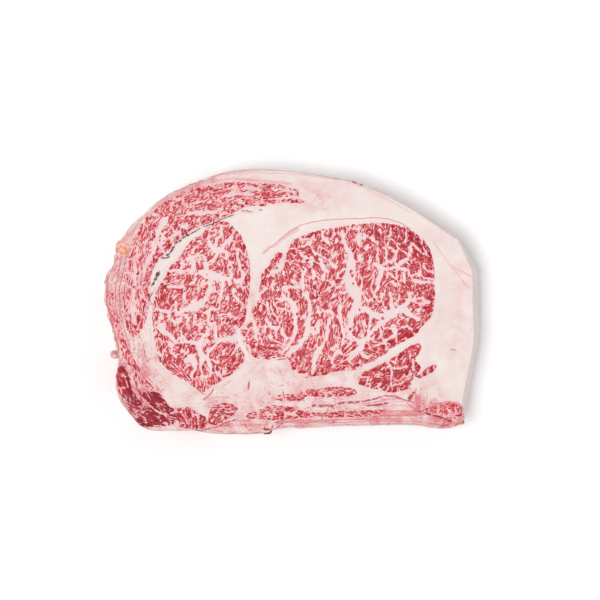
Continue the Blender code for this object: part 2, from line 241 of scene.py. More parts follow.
# The white veins between bundles of grains: runs of x, y and the vein's width there.
EYE_VEINS = (
    ((32.5, 45, 2.0), (32.8, 41.5, 2.6), (34, 37, 2.4), (36, 33, 3.0), (38.5, 29.5, 3.4), (38.5, 25, 5.5),
     (38, 20, 6.0), (37.5, 14, 7.5), (39.5, 8, 8.0), (42.5, 2, 5.0), (42, -5, 6.0), (48, -5.5, 4.0)),
    ((43, 41, 3.0), (43.5, 36.5, 2.4)),
    ((44, 28.5, 2.5), (44, 26.5, 2.5)),
    ((27.3, 44, 1.8), (27, 42.3, 1.8)),
    ((29.3, 39.8, 2.0), (29.3, 38.6, 2.0)),
    ((20.8, 44.5, 2.4), (20, 41, 2.4), (22, 39.8, 3.0), (24, 37.5, 2.0)),
    ((14.2, 42, 1.8), (14.5, 39.5, 1.8)),
    ((4.5, 35.2, 1.4), (8.5, 34.8, 2.0), (11.5, 37, 2.4), (14, 38, 1.2)),
    ((6.2, 29.8, 1.4), (8, 28, 1.6), (13.5, 27, 1.6)),
    ((12, 25.8, 1.2), (14, 23.5, 1.3), (12, 21.5, 1.2)),
    ((19, 28, 1.8), (19.3, 24, 2.2), (21, 20.5, 2.2), (23.5, 18.8, 2.0)),
    ((26.5, 28.5, 2.2), (29, 30, 2.2)),
    ((26, 23.5, 2.4), (28.5, 21.5, 2.4)),
    ((33.5, 20, 1.6), (30.5, 18, 1.6), (29.5, 14.5, 1.6)),
    ((20.8, 17.5, 2.2), (20.6, 13.5, 2.2)),
    ((14.5, 19, 2.4), (14.3, 15, 2.4)),
    ((9.8, 20.5, 1.8), (7.5, 17, 2.2), (7.3, 12, 2.4), (7.5, 8, 2.4)),
    ((4.5, 22.5, 1.0), (2, 25, 1.0)),
    ((0.4, 12.8, 2.4), (2.6, 12, 2.6)),
    ((27.3, 13, 2.2), (26.8, 10.5, 2.2)),
    ((32.3, 11.5, 1.4), (31.5, 9, 1.4)),
    ((46.8, 43, 2.0), (46.8, 40, 2.0)),
    ((52.4, 41, 2.4), (52.8, 38.6, 2.4)),
    ((48.4, 35.3, 2.2), (48.2, 33, 2.2)),
    ((55, 38.5, 1.4), (55.3, 34, 1.4), (55.3, 29, 1.4), (55.5, 25.5, 1.4)),
    ((57.3, 46, 1.8), (57.3, 44.2, 1.8)),
    ((63.6, 46.5, 1.7), (63.3, 42, 1.7), (62.6, 38.5, 1.2), (61.3, 35, 1.4), (60.8, 31, 1.8),
     (60.5, 27, 1.8)),
    ((68, 32, 1.8), (66.6, 29, 2.0), (65.5, 27.6, 1.2)),
    ((67.5, 36.6, 1.5), (70, 36.2, 1.5)),
    ((73.6, 47, 1.0), (73.4, 42, 1.4), (73.2, 37.5, 1.5)),
    ((83.8, 39.2, 1.2), (83.7, 36.8, 1.2)),
    ((85, 33.6, 1.3), (86.5, 31.5, 1.6), (86.8, 29.3, 1.1)),
    ((75.6, 31.8, 1.6), (75.4, 28.3, 1.6)),
    ((50.2, 28.3, 1.6), (50, 24, 1.6), (49.8, 21, 1.6)),
    ((52.5, 24.5, 1.6), (55.5, 23, 3.2), (58, 21, 3.4), (57.3, 17, 3.4), (56, 13, 2.4), (55, 9, 2.0),
     (53, 2, 1.4)),
    ((58, 20.5, 2.4), (62, 20.6, 2.2), (66, 21.2, 2.2), (70, 21, 2.6), (75, 19.6, 1.6)),
    ((67.5, 22.5, 1.6), (71, 25, 2.2), (75, 27.2, 1.6)),
    ((60.8, 25, 1.6), (64.5, 24.6, 1.6)),
    ((72, 17.3, 2.2), (72.6, 12.6, 2.2)),
    ((64.6, 12.4, 2.0), (67, 10.4, 2.0)),
    ((81.8, 19.3, 2.0), (81.6, 15.6, 2.0)),
    ((84.6, 23.5, 1.2), (86, 19.6, 1.2), (91, 18.4, 1.2)),
    ((79.3, 12.8, 2.6), (83, 11.8, 2.4), (88.5, 12.6, 1.8)),
    ((48, -5.5, 4.0), (54, -9.4, 4.4), (59.5, -10.8, 5.6), (63.5, -8.2, 6.2), (68, -6.5, 3.8),
     (72, -4.6, 5.4), (75, -8, 3.4), (79, -10.3, 2.0), (82, -12.2, 2.4)),
    ((63.4, 5, 1.8), (64, 0, 2.0), (64.6, -4, 3.6)),
    ((69.4, 4, 1.4), (69, 1, 1.4), (67, -2, 1.6)),
    ((75.4, 5, 1.6), (76.4, 2, 1.8), (73.6, -2, 3.6)),
    ((58.6, 4.4, 1.4), (58, 0, 1.8)),
    ((58.4, -5.2, 1.8), (59.4, -6, 1.4)),
    ((79, 3, 1.4), (78.8, 0, 1.6), (81, -1.2, 1.4)),
    ((82.5, -2.2, 1.6), (85.5, -1.6, 1.8), (89, -0.6, 1.4)),
    ((76.2, -4.4, 1.8), (76.5, -6, 1.8)),
    ((81, -5.6, 2.2), (82.2, -5.8, 2.0)),
    ((61.5, -11.5, 3.6), (58, -13.6, 3.2), (56, -16, 2.8), (53, -18.5, 3.2), (50.4, -20.6, 2.6),
     (48.6, -24.4, 4.0), (43.4, -26.2, 3.2), (39, -27, 2.6)),
    ((51.4, -10, 1.6), (50, -15.8, 2.0), (49.4, -21, 2.6)),
    ((57, -17.6, 1.6), (57.6, -21.2, 1.8), (56.2, -23.6, 1.6)),
    ((63.3, -17.3, 1.6), (66.4, -18.5, 2.6), (66.4, -21.4, 3.2), (63.3, -23.3, 2.2), (59, -26.4, 1.8),
     (56, -28.6, 1.6), (51, -28.6, 1.2)),
    ((70, -17.4, 1.4), (74, -16.3, 1.8), (77.6, -17.6, 1.4)),
    ((67.6, -10.6, 1.2), (71.6, -10.8, 1.6)),
    ((31.3, -3, 3.0), (31.4, -7, 2.4), (31.7, -11, 1.7), (31.9, -15, 1.7), (33.4, -18.6, 3.4), (34, -22, 2.4),
     (33.2, -27, 1.5), (31.4, -31, 1.8), (28.2, -33.6, 1.8), (26.6, -37.2, 1.6), (26.2, -40, 1.2)),
    ((42.4, -5, 5.6), (38.8, -8.6, 3.4), (38.4, -13.4, 3.2), (37, -18, 4.2), (38.2, -22.6, 2.8),
     (38.2, -27, 2.6)),
    ((34.7, -10.8, 1.3), (34.6, -15.4, 1.4)),
    ((46.6, -12.6, 1.6), (46.7, -15.4, 1.6)),
    ((41.8, -16.4, 1.5), (42, -18.2, 1.4)),
    ((45.8, -28, 3.6), (44, -31, 4.2), (39.6, -33.8, 3.6), (37.4, -37.6, 3.0)),
    ((51.6, -34.6, 1.4), (48.6, -36.4, 2.4), (46, -34, 3.0)),
    ((28.6, -28.4, 1.8), (25.6, -30.8, 1.8)),
    ((23.8, -12, 1.4), (23.6, -15.5, 1.7), (23.6, -19, 1.7), (22.7, -23.5, 1.8), (21.6, -26.6, 1.8),
     (20, -29, 2.2), (18.8, -33, 2.2)),
    ((18.1, -12, 1.4), (17.2, -16, 1.9), (16.8, -20.2, 2.4), (13.4, -20, 2.2), (10.7, -18.6, 3.6)),
    ((17.3, -3.6, 1.2), (17, -8, 1.2)),
    ((26.4, -8.4, 1.4), (26.6, -10, 1.4)),
    ((9.6, 4.6, 4.4), (11, 1, 2.2), (12, -4, 2.6), (11.7, -9.7, 2.7), (11.2, -14.3, 3.0), (10.4, -19, 4.0),
     (9, -23.6, 3.6), (5, -28.4, 3.2), (1.5, -31.4, 3.0), (-3, -34.4, 2.6)),
    ((18.4, -30, 1.6), (16.4, -34.2, 4.2), (15, -37.8, 3.2), (14.7, -41.8, 2.8), (14.1, -45.6, 2.8)),
    ((-5.6, 9.2, 1.6), (0, 8.7, 1.5), (5.2, 8.6, 2.0)),
    ((-5.6, 8.6, 1.5), (-5.4, 5.6, 1.6), (-4.8, 3, 2.6), (-2, 1, 2.8), (1.4, -1.4, 3.8), (2.4, -5.6, 5.0),
     (3, -10, 3.2), (2.8, -15, 3.0), (2.6, -20, 2.8), (1, -25, 2.0), (-1.4, -29, 2.4), (-6.6, -33, 1.6)),
    ((-9.6, 1.2, 1.2), (-5, 1.2, 1.8)),
    ((-12.3, 0, 1.2), (-12.2, -4.5, 1.4), (-11.6, -8, 1.2), (-9.6, -10, 1.0), (-8.7, -13, 1.4)),
    ((-15.2, -1, 1.2), (-14.6, -5, 1.1), (-14, -9, 1.1)),
    ((-8.7, -4.8, 1.5), (-3.6, -5, 1.4)),
    ((-6.6, -6.6, 1.2), (-6.6, -8.8, 1.2)),
    ((-19.2, -3.5, 1.8), (-19.4, -6.2, 1.8)),
    ((-26, -9, 2.2), (-23.5, -14, 2.8), (-22.4, -19, 2.4), (-22.4, -24, 1.4)),
    ((-15.5, -12, 2.0), (-14.6, -14.4, 1.8), (-12.4, -17.2, 2.4), (-9, -17.6, 2.6), (-7.4, -16.4, 1.6)),
    ((-16.4, -15.6, 1.8), (-17, -20, 1.6)),
    ((-13.3, -18.6, 1.5), (-13.7, -24, 1.4)),
    ((-9.7, -18, 2.2), (-9.2, -23, 1.6)),
    ((-6, -18, 2.0), (-5.4, -21.4, 1.8), (-3, -23.6, 1.8), (-4.6, -27.4, 1.6)),
    ((-18.8, -24, 1.4), (-18.9, -27.6, 1.4)),
    ((-12, -28.2, 1.8), (-11, -28.6, 1.4)),
    ((-4, 30, 1.8), (-5.5, 26, 2.4), (-7, 22, 4.4), (-9, 19.4, 3.2), (-12.4, 17.8, 2.0), (-14.6, 16.2, 1.4)),
    ((-4.3, 18.2, 2.4), (-4.2, 16.4, 2.2)),
    ((-11.4, 12.6, 1.6), (-11.7, 10, 1.7), (-11.4, 6.8, 1.6)),
    ((-15, 8.3, 1.3), (-16.8, 6.8, 1.5), (-19, 5, 1.4)),
)
# Specks of lean that lie alone in the wide veins: x, y and radius.
LEAN_SPECKS = (
    (38.6, 19, 1.0), (39.3, 16, 1.0), (40, 11, 0.9), (41.6, 21.8, 0.7), (3.9, -8.1, 0.8), (-8.7, 21, 0.8),
    (58.7, -10.9, 0.8), (8.2, 6.3, 1.2), (34.8, -24.4, 1.2), (36.6, -25.6, 1.3), (43.8, -5.6, 0.8),
    (48.8, -26.2, 0.7), (40.4, -27.8, 1.6), (37.4, -18.2, 0.8), (46.8, -20.2, 0.9),
    (-66.9, 31.3, 1.1), (-53.4, 17, 0.7),
)
INNER_VEINS = (
    ((-45, 48, 2.0), (-44.6, 44.5, 2.0), (-45, 41.6, 2.0), (-47.2, 39.6, 2.0), (-48.4, 36, 2.2)),
    ((-48.6, 45.4, 1.4), (-47.8, 45.2, 1.4)),
    ((-53, 38.4, 1.8), (-51, 34.8, 2.6), (-48.8, 33, 4.0), (-46.6, 31.8, 4.4), (-44.4, 32.6, 3.4),
     (-43, 34.8, 2.6), (-41.6, 37, 2.4), (-39, 39.8, 2.4), (-37.5, 42, 2.0), (-36.6, 44.6, 1.4)),
    ((-47.4, 30, 3.0), (-48.8, 27, 2.2), (-50.2, 25.2, 1.4)),
    ((-41.6, 31, 2.6), (-41.6, 27.4, 2.6)),
    ((-34.2, 33.8, 1.6), (-34.4, 30.5, 2.0), (-34.4, 27, 1.8), (-33.4, 25, 1.6), (-32.3, 22.4, 1.6),
     (-32, 20, 1.4), (-30.6, 17.6, 2.4), (-30.6, 15.6, 2.4), (-32.8, 12.8, 3.0), (-35.6, 13.4, 2.6)),
    ((-29.6, 30.4, 1.4), (-29.2, 29.4, 1.4)),
    ((-29, 25, 1.3), (-28, 24.8, 1.3)),
    ((-40.2, 22.6, 1.6), (-39.4, 24.4, 1.8), (-36.2, 24.8, 1.6)),
    ((-46.6, 23.6, 1.6), (-45.8, 23, 1.4)),
    ((-38.7, 20, 1.8), (-38.4, 17.6, 2.0), (-38.6, 15, 2.4), (-40, 13.6, 3.0), (-43.2, 14.6, 3.4),
     (-46, 15, 4.4), (-50, 15.8, 6.0), (-54, 17.4, 6.2), (-58, 18.8, 3.0)),
    ((-54.6, 24.4, 2.0), (-54, 20.6, 2.8)),
    ((-55.4, 28.6, 1.6), (-54.8, 25.6, 1.6)),
    ((-51, 25, 1.2), (-52.4, 22, 1.6)),
    ((-66.8, 27, 2.8), (-64.4, 27.4, 2.8), (-62.7, 25.2, 2.6), (-62.4, 22.4, 2.6), (-63.2, 19.6, 2.4),
     (-63.4, 17.4, 1.6)),
    ((-65.4, 29.2, 1.8), (-62, 28.2, 1.8), (-58.8, 29.2, 1.6), (-56.6, 29.8, 1.4)),
    ((-62.8, 31, 2.2), (-61.4, 34.6, 1.4)),
    ((-58.4, 38, 1.6), (-58.2, 36.4, 1.6)),
    ((-70.4, 24, 2.8), (-69.4, 24.2, 2.8)),
    ((-78.4, 18.8, 1.8), (-74.8, 19.8, 2.0), (-72.2, 19.4, 1.8), (-67.8, 18.8, 1.4), (-65.6, 20, 1.6),
     (-63.2, 19.4, 2.0)),
    ((-81, 12.4, 1.2), (-81, 11.2, 1.4)),
    ((-75.6, 12.4, 1.2), (-73.4, 14, 1.3)),
    ((-71, 14, 1.2), (-72.6, 12, 1.4)),
    ((-78.5, 8.4, 1.6), (-76, 9, 2.0), (-70.4, 8.8, 1.8), (-68.6, 10.4, 1.2)),
    ((-61.2, 14.2, 1.6), (-62.8, 12, 2.2), (-64.6, 10.6, 1.4)),
    ((-56, 13, 2.4), (-57.4, 11, 1.6), (-58.6, 8.8, 1.6), (-61.2, 7.4, 1.2)),
    ((-51.8, 11.6, 2.8), (-51.6, 7, 3.0), (-52.4, 4.4, 2.2), (-54, 2.8, 2.0), (-55.5, 0, 3.2),
     (-58.2, -2.2, 5.4), (-61.4, -3.6, 6.4), (-64.6, -4.4, 4.2), (-68, -5.2, 3.0), (-70.2, -7.2, 2.2),
     (-73.6, -8.4, 1.8)),
    ((-43.4, 12.4, 2.2), (-43.9, 9, 2.2), (-45, 6.4, 2.2), (-45.5, 2, 1.6), (-46, -1, 2.0)),
    ((-39.9, 12, 2.0), (-39.6, 11, 1.6)),
    ((-31.8, 11.4, 1.8), (-31.4, 8, 1.6), (-29.2, 8.2, 1.4)),
    ((-36.8, 8, 1.8), (-36.8, 3, 1.6), (-32, -0.5, 1.4)),
    ((-68.4, 5, 1.8), (-68.4, 1.6, 2.0), (-67.6, 0.4, 1.6)),
    ((-73.6, 0.4, 1.4), (-73.2, -3.2, 1.4), (-73.6, -6.4, 2.0), (-73.7, -8.6, 2.0)),
    ((-85, -6.6, 1.8), (-82.6, -6.6, 2.0), (-80.6, -6.9, 2.0), (-78.2, -7, 2.2), (-77.8, -9.4, 2.2),
     (-78.5, -11.4, 1.6)),
    ((-83.2, -8.8, 2.0), (-83.4, -11.2, 2.0), (-84.6, -12.8, 1.8), (-87.6, -14.2, 1.4)),
    ((-82, -10.4, 1.4), (-81.8, -12.6, 1.4)),
    ((-76.2, -12.6, 2.2), (-74.2, -13.6, 2.0), (-74.9, -15.4, 1.4)),
    ((-72.4, -12, 2.4), (-70.6, -11.2, 2.4), (-70.4, -13.6, 1.6)),
    ((-67.5, -9, 2.8), (-66.4, -11.2, 2.0), (-66.6, -13.6, 1.8), (-66, -15.4, 1.4)),
    ((-83.6, -17, 4.2), (-82, -19.2, 4.2), (-80.4, -21, 2.6), (-77.8, -22, 2.4), (-76, -23.6, 2.8),
     (-74.6, -25.6, 2.6), (-73, -26.8, 1.8), (-70.6, -25.8, 1.8), (-67.4, -26.2, 1.4), (-65.2, -26.6, 1.6),
     (-61.4, -27, 2.0), (-58.4, -26.4, 4.2)),
    ((-70, -22.4, 1.6), (-70.4, -25.2, 1.6)),
    ((-57.4, -21, 1.4), (-55.8, -22, 2.4), (-56.4, -24, 2.8), (-58.4, -26.4, 3.6), (-59.1, -29.6, 2.8),
     (-57.8, -32.8, 3.0), (-56.6, -36.4, 4.4), (-57.6, -39.8, 1.8), (-57.6, -43, 1.5), (-57.2, -48, 1.1)),
    ((-54.2, -19, 2.0), (-53, -21.8, 2.4), (-55.8, -22, 2.0)),
    ((-48.6, -16.6, 2.0), (-48, -20, 2.4), (-48.2, -23.4, 2.4), (-46.3, -26.4, 2.2), (-48.2, -28.9, 1.8),
     (-50.8, -30.4, 1.7), (-52.8, -31.6, 1.7)),
    ((-52.4, -13.6, 1.8), (-51.2, -15.4, 2.2), (-48.4, -13.8, 1.6)),
    ((-52.8, -6.2, 1.8), (-52.5, -9.4, 2.0), (-53.1, -12.4, 1.6)),
    ((-51.5, -5.6, 1.6), (-49, -5, 1.6), (-46.6, -4.4, 1.6)),
    ((-61.4, -8.6, 2.2), (-61, -11.2, 1.6), (-61.7, -13.8, 1.4)),
    ((-58.4, -10.6, 1.3), (-58.6, -17.4, 1.3)),
    ((-57.4, -26.6, 1.4), (-52.8, -26.2, 1.2)),
    ((-58, -29.2, 1.2), (-54.4, -27.4, 1.2)),
    ((-69.4, -31, 1.4), (-70.2, -34, 1.4)),
    ((-66.2, -30, 1.3), (-66, -32.4, 1.3)),
    ((-76, -30.8, 1.6), (-77.4, -32.6, 1.8), (-74.8, -33.8, 1.8), (-73.6, -35.6, 1.6)),
    ((-81.6, -32, 1.4), (-82, -35.4, 1.4)),
    ((-75.8, -27.4, 1.8), (-77.6, -28.6, 1.4)),
    ((-67.8, -38.6, 2.6), (-64.8, -37, 5.6), (-62.8, -38, 4.6), (-61.5, -41.4, 3.0), (-61.8, -44, 2.4),
     (-62.9, -46, 2.2), (-63.6, -48.8, 1.6)),
    ((-46.4, -26.2, 2.0), (-42.8, -24, 2.0), (-39.6, -24, 3.8), (-36.4, -24.4, 5.2), (-33.4, -23.4, 4.8)),
    ((-52.9, -31.4, 1.6), (-53.2, -34.2, 2.0), (-53.7, -36.6, 2.8), (-52.8, -39.6, 2.4), (-51.6, -42.8, 2.4),
     (-51.3, -45.8, 1.8), (-51.6, -47.8, 1.4)),
    ((-46.4, -45, 1.6), (-46.1, -48.2, 1.6)),
    ((-50.6, -38, 1.6), (-48.8, -38.8, 1.6), (-46.6, -39.2, 1.6)),
    ((-42.2, -31.6, 1.8), (-43.2, -34, 1.8)),
    ((-34.2, -32.2, 1.3), (-35, -35.2, 1.3)),
)
CAP_VEINS = (
    ((-66, 56, 2.2), (-58, 56.5, 3.4), (-50, 57, 1.8), (-44, 59, 1.2)),
    ((-62, 63, 1.6), (-50, 64, 1.0), (-38, 68.5, 2.0), (-28, 69, 2.2), (-20, 66.5, 1.2)),
    ((-32, 72, 1.2), (-26, 72.5, 3.2), (-20, 71, 1.4)),
    ((-79, 53.6, 2.0), (-82, 51, 5.0), (-83.6, 48, 3.6), (-85.5, 44, 3.0), (-85, 38, 2.4)),
    ((-88.3, 38, 3.0), (-87.4, 33.6, 2.8), (-91, 27, 2.4), (-94, 20, 2.2), (-95, 14, 1.6)),
    ((-69.6, 47, 2.0), (-68.4, 47.4, 3.0), (-66.4, 49, 1.8)),
    ((-76.4, 41.6, 1.2), (-75.5, 42.5, 2.0), (-73, 44.4, 1.2)),
    ((-81.4, 36.4, 1.2), (-80.7, 37.6, 1.4)),
    ((-98, 34, 1.2), (-100, 24, 2.2), (-100, 12, 2.6), (-101, 0, 2.6), (-100, -14, 2.4)),
    ((-12, 72, 1.0), (-4, 71, 1.6), (3, 70, 1.2)),
    ((-14, 65, 1.0), (-4, 66, 1.8), (4, 66.5, 2.4)),
)
FAN_VEINS = (
    ((64.6, -42.6, 1.9), (64.3, -46.1, 1.6), (63.9, -49.2, 1.3), (64, -53.1, 1.5), (64.2, -55.4, 1.1)),
    ((62.7, -41.5, 1.3), (59.6, -42.6, 1.2), (57.3, -44.2, 1.3), (56.2, -46.9, 1.1), (55, -48.4, 1.0)),
    ((65, -43.5, 1.3), (68.9, -43.2, 1.4), (71.2, -42.4, 1.4), (74, -41.3, 1.2)),
    ((78.2, -37.6, 1.9), (78.2, -41.5, 2.2), (78.6, -44.6, 1.3)),
    ((65.1, -50.8, 0.9), (70.1, -50.8, 1.0), (72.8, -47.7, 0.9), (76.7, -46.1, 0.8)),
    ((65.8, -54.2, 0.9), (70.1, -52.7, 1.0), (72.8, -50.8, 1.0), (76.7, -48.8, 1.0), (79, -47.6, 0.8)),
    ((52.7, -45.3, 1.0), (50.7, -46.9, 1.0), (49.4, -49.4, 1.2), (48.8, -51.1, 1.0)),
    ((61.2, -39.9, 1.1), (63.1, -38.4, 1.3), (65.1, -39.3, 1.1), (68.2, -39.9, 1.2)),
    ((71.2, -39.5, 1.1), (72.4, -37.6, 1.1), (73.2, -35.7, 1.0)),
    ((75.9, -36.6, 1.1), (76.4, -34.6, 1.8), (76.4, -32.6, 1.0)),
)

# Thin runs of lean in the fat: x, y and width, with how dark each is.
LEAN_STREAKS = (
    (((14, -67), (19, -67.3), (26, -67.2)), 2.0, 0.7),
    (((31, -65.6), (38, -64.8), (42, -64.6)), 1.7, 0.7),
    (((42, -64.6), (48, -64), (53, -62.8), (59, -61)), 1.2, 0.5),
    (((49, -67), (56, -66.4), (61.5, -65.4)), 1.3, 0.7),
    (((60, -60.6), (67, -61), (73, -63.5), (77, -64)), 1.1, 0.2),
    (((83, -71), (90, -72.6), (96, -74.6), (103, -77)), 1.6, 0.9),
    (((75.5, -62.5), (78.3, -59)), 2.3, 0.8),
    (((-27, -52.5), (-27.3, -55.5)), 1.3, 0.1),
    (((48, -39.5), (53, -37.8)), 1.3, 0.4),
    (((-8, -37.4), (-2, -36.6)), 0.8, 0.3),
    (((10, -48.8), (18, -47), (27, -44.6)), 0.9, 0.3),
    (((-50, -57), (-52, -60), (-55, -62.5)), 0.9, 0.1),
    (((-39, -51.5), (-43, -54)), 0.6, 0.0),
    (((-2, -52.5), (-7, -54.5)), 0.5, 0.0),
    (((-14.5, -59), (-13.5, -59.6)), 1.1, 0.3),
    (((-5, -58.6), (-4.4, -63)), 0.8, 0.2),
    (((5.5, -60.5), (8, -63.5)), 1.2, 0.1),
    (((20, -75), (19.5, -72)), 0.9, 0.5),
    (((-98, -20.5), (-95.5, -25), (-94, -31), (-93, -37)), 0.45, 0.5),
    (((-101, -42), (-96, -49), (-92, -55)), 2.2, 0.1),
    (((-94.5, -46), (-89, -52), (-84, -56.5)), 0.5, 0.3),
    (((-60, -55), (-57, -59)), 1.0, 0.2),
    (((-40, -79), (-46, -80.5), (-55, -82)), 0.8, 0.1),
    (((-17, -82), (-13, -82.4)), 1.6, 1.0),
    (((39, 76.6), (42, 75.6), (45.4, 74.4)), 1.2, 0.8),
    (((-100.4, 8.8), (-99.8, 8.4)), 2.2, 0.5),
    (((-28, -30.2), (-27.8, -30.8)), 1.4, 0.1),
    (((-101, -62), (-97, -67), (-91, -69), (-85, -72)), 1.6, 0.9),
    (((-103.6, -66), (-98, -68.6), (-91, -70)), 2.2, 1.0),
    (((-103, -69), (-100, -72.6), (-97, -73.6)), 1.6, 0.9),
    (((-100, -49), (-98.6, -55), (-95.4, -60.4)), 1.4, 0.7),
    (((-99.4, -53), (-97, -59), (-92.6, -64)), 1.2, 0.8),
    (((-80, -74), (-74, -75.8), (-68, -75)), 1.2, 0.8),
    (((-104.5, -70.5), (-101, -76), (-95, -80.5)), 1.0, 0.6),
    (((-110.8, -50), (-110.6, -57), (-107.6, -64)), 1.0, 0.5),
    (((91, -67.6), (97, -66.4), (103, -66.6), (109.4, -69)), 1.8, 0.35),
    (((-12.8, -82.5), (-10.9, -78.2), (-6, -76.3), (-2.3, -74.5)), 1.0, 0.6),
    (((-9, -81.5), (-6.6, -79), (-4.4, -78.4)), 0.9, 0.5),
    (((-46.5, -79.4), (-41, -77.8), (-35.5, -75.7)), 0.7, 0.3),
    (((-60, -80.6), (-57, -83)), 0.9, 0.7),
)

# Pink membranes and bloody lines in the fat: run, width and strength.
PINK_RUNS = (
    (((-17.5, 30.5), (-12, 35), (-6, 40.5), (0, 45.3), (6, 48.4), (13, 50.4), (22, 51.9), (33, 52.5),
      (44, 52.7), (54, 53.4), (62, 52.6), (70, 50), (76, 46.5)), 0.6, 0.75),
    (((-17, 31), (-10, 36.6), (-3, 42), (4, 46)), 2.8, 0.34),
    (((91, 38), (96, 31), (101, 24), (107, 16.5), (114, 8)), 0.9, 0.26),
    (((102, 23), (108, 19.5), (116, 15.5)), 1.2, 0.30),
    (((-104, 42), (-97, 51), (-85, 62), (-66, 72.6), (-48, 79)), 3.0, 0.40),
    (((-48, 79), (-36, 82), (-20, 83)), 1.6, 0.20),
    (((0, 75), (-20, 77), (-40, 78.5), (-60, 75)), 1.8, 0.30),
    (((36, 76), (46, 72.5), (60, 66), (76, 57)), 1.6, 0.16),
    (((-19, 82), (6, 81), (30, 77.6)), 0.5, 0.40),
    (((79.5, -58), (80.6, -69)), 0.8, 0.70),
    (((81.4, -60), (82, -69)), 0.5, 0.60),
    (((83, -56), (82.6, -69)), 0.6, 0.60),
    (((85, -62), (84.6, -69)), 0.5, 0.55),
    (((87, -61), (86, -69)), 0.7, 0.60),
    (((74, -65), (80, -70), (88, -72), (98, -75)), 0.8, 0.75),
    (((36, -77.6), (60, -76.6), (80, -77), (98, -80)), 0.8, 0.60),
    (((-10, -77.5), (10, -77.9), (36, -77.6)), 0.9, 0.65),
    (((-4, -76.2), (14, -76.4), (34, -75.8), (52, -75.4), (70, -75)), 0.7, 0.75),
    (((42, -73.5), (60, -73), (80, -73.4)), 0.8, 0.80),
    (((30, -72.4), (44, -71.8), (58, -71.6), (74, -71.8), (84, -73)), 0.8, 0.80),
    (((56, -69.8), (64, -70.5), (72, -70.3), (82, -71)), 1.0, 0.75),
    (((58, -62.8), (68, -62.2), (76, -64)), 0.8, 0.65),
    (((40, -66.4), (50, -65.2), (62, -63.8), (72, -64.6)), 0.5, 0.50),
    (((60, -67.4), (70, -66.6), (78, -68)), 0.6, 0.50),
    (((90, -74.4), (98, -77), (106, -79)), 0.7, 0.75),
    (((92, -66.2), (100, -64.4), (107, -65.2), (110, -68)), 0.9, 0.85),
    (((104, -66), (110, -68)), 1.8, 0.42),
    (((88, -78.4), (98, -79.4), (108, -78)), 1.2, 0.60),
    (((-56, -63), (-48, -61.4), (-40, -62)), 1.4, 0.40),
    (((-112, 44), (-104, 54), (-92, 63.4), (-78, 71)), 0.7, 0.60),
    (((-100, 48), (-90, 57.6), (-78, 66)), 0.7, 0.50),
    (((-62, 77), (-48, 81), (-30, 83.6)), 0.7, 0.60),
    (((-108, 30), (-110, 20), (-112.6, 8), (-112, -4), (-109, -16), (-106, -30)), 0.7, 0.80),
    (((-104.6, 34), (-107, 20), (-109.8, 8), (-109.6, -6), (-106, -20), (-103, -32), (-99, -42)), 0.6, 0.80),
    (((-115.6, 10), (-116, -4), (-113, -16), (-109.6, -26)), 0.6, 0.70),
    (((-114.2, 21), (-118, 12), (-118.6, 2), (-116.6, -8), (-113.4, -20), (-110.6, -31)), 0.9, 0.85),
    (((-90, -66), (-80, -70), (-70, -73), (-62, -76)), 0.8, 0.75),
    (((-64, -79), (-56, -82), (-44, -83.4)), 0.8, 0.75),
    (((-46, -78), (-34, -76.4), (-26, -76.8)), 0.8, 0.65),
    (((-52, -80.5), (-36, -79.6), (-20, -79.4)), 1.6, 0.36),
)
# Wide soft blushes of pink: x, y, radius along X and Y, strength.
BLUSHES = (
    (16, 66, 18, 12, 0.26),
    (6, -80, 110, 10, 0.50),
    (2, -66, 90, 12, 0.36),
    (-112, 10, 12, 60, 0.42),
    (-100, -58, 18, 28, 0.85),
    (40, -50, 55, 8, 0.24),
    (84, -66, 14, 12, 0.60),
    (98, -78, 18, 7, 1.00),
    (66, -79, 26, 5, 0.72),
    (-88, -36, 6, 12, 0.34),
    (50, -74, 46, 4, 0.60),
    (10, -60, 36, 6, 0.40),
    (0, -52, 16, 5, 0.40),
    (-46, -66, 16, 6, 0.40),
    (-10, -44, 24, 10, 0.26),
    (-70, 70, 60, 12, 0.36),
    (106, -5, 20, 60, 0.12),
    (-25, 4, 4, 14, 0.22),
    (-40, -62, 40, 10, 0.16),
)
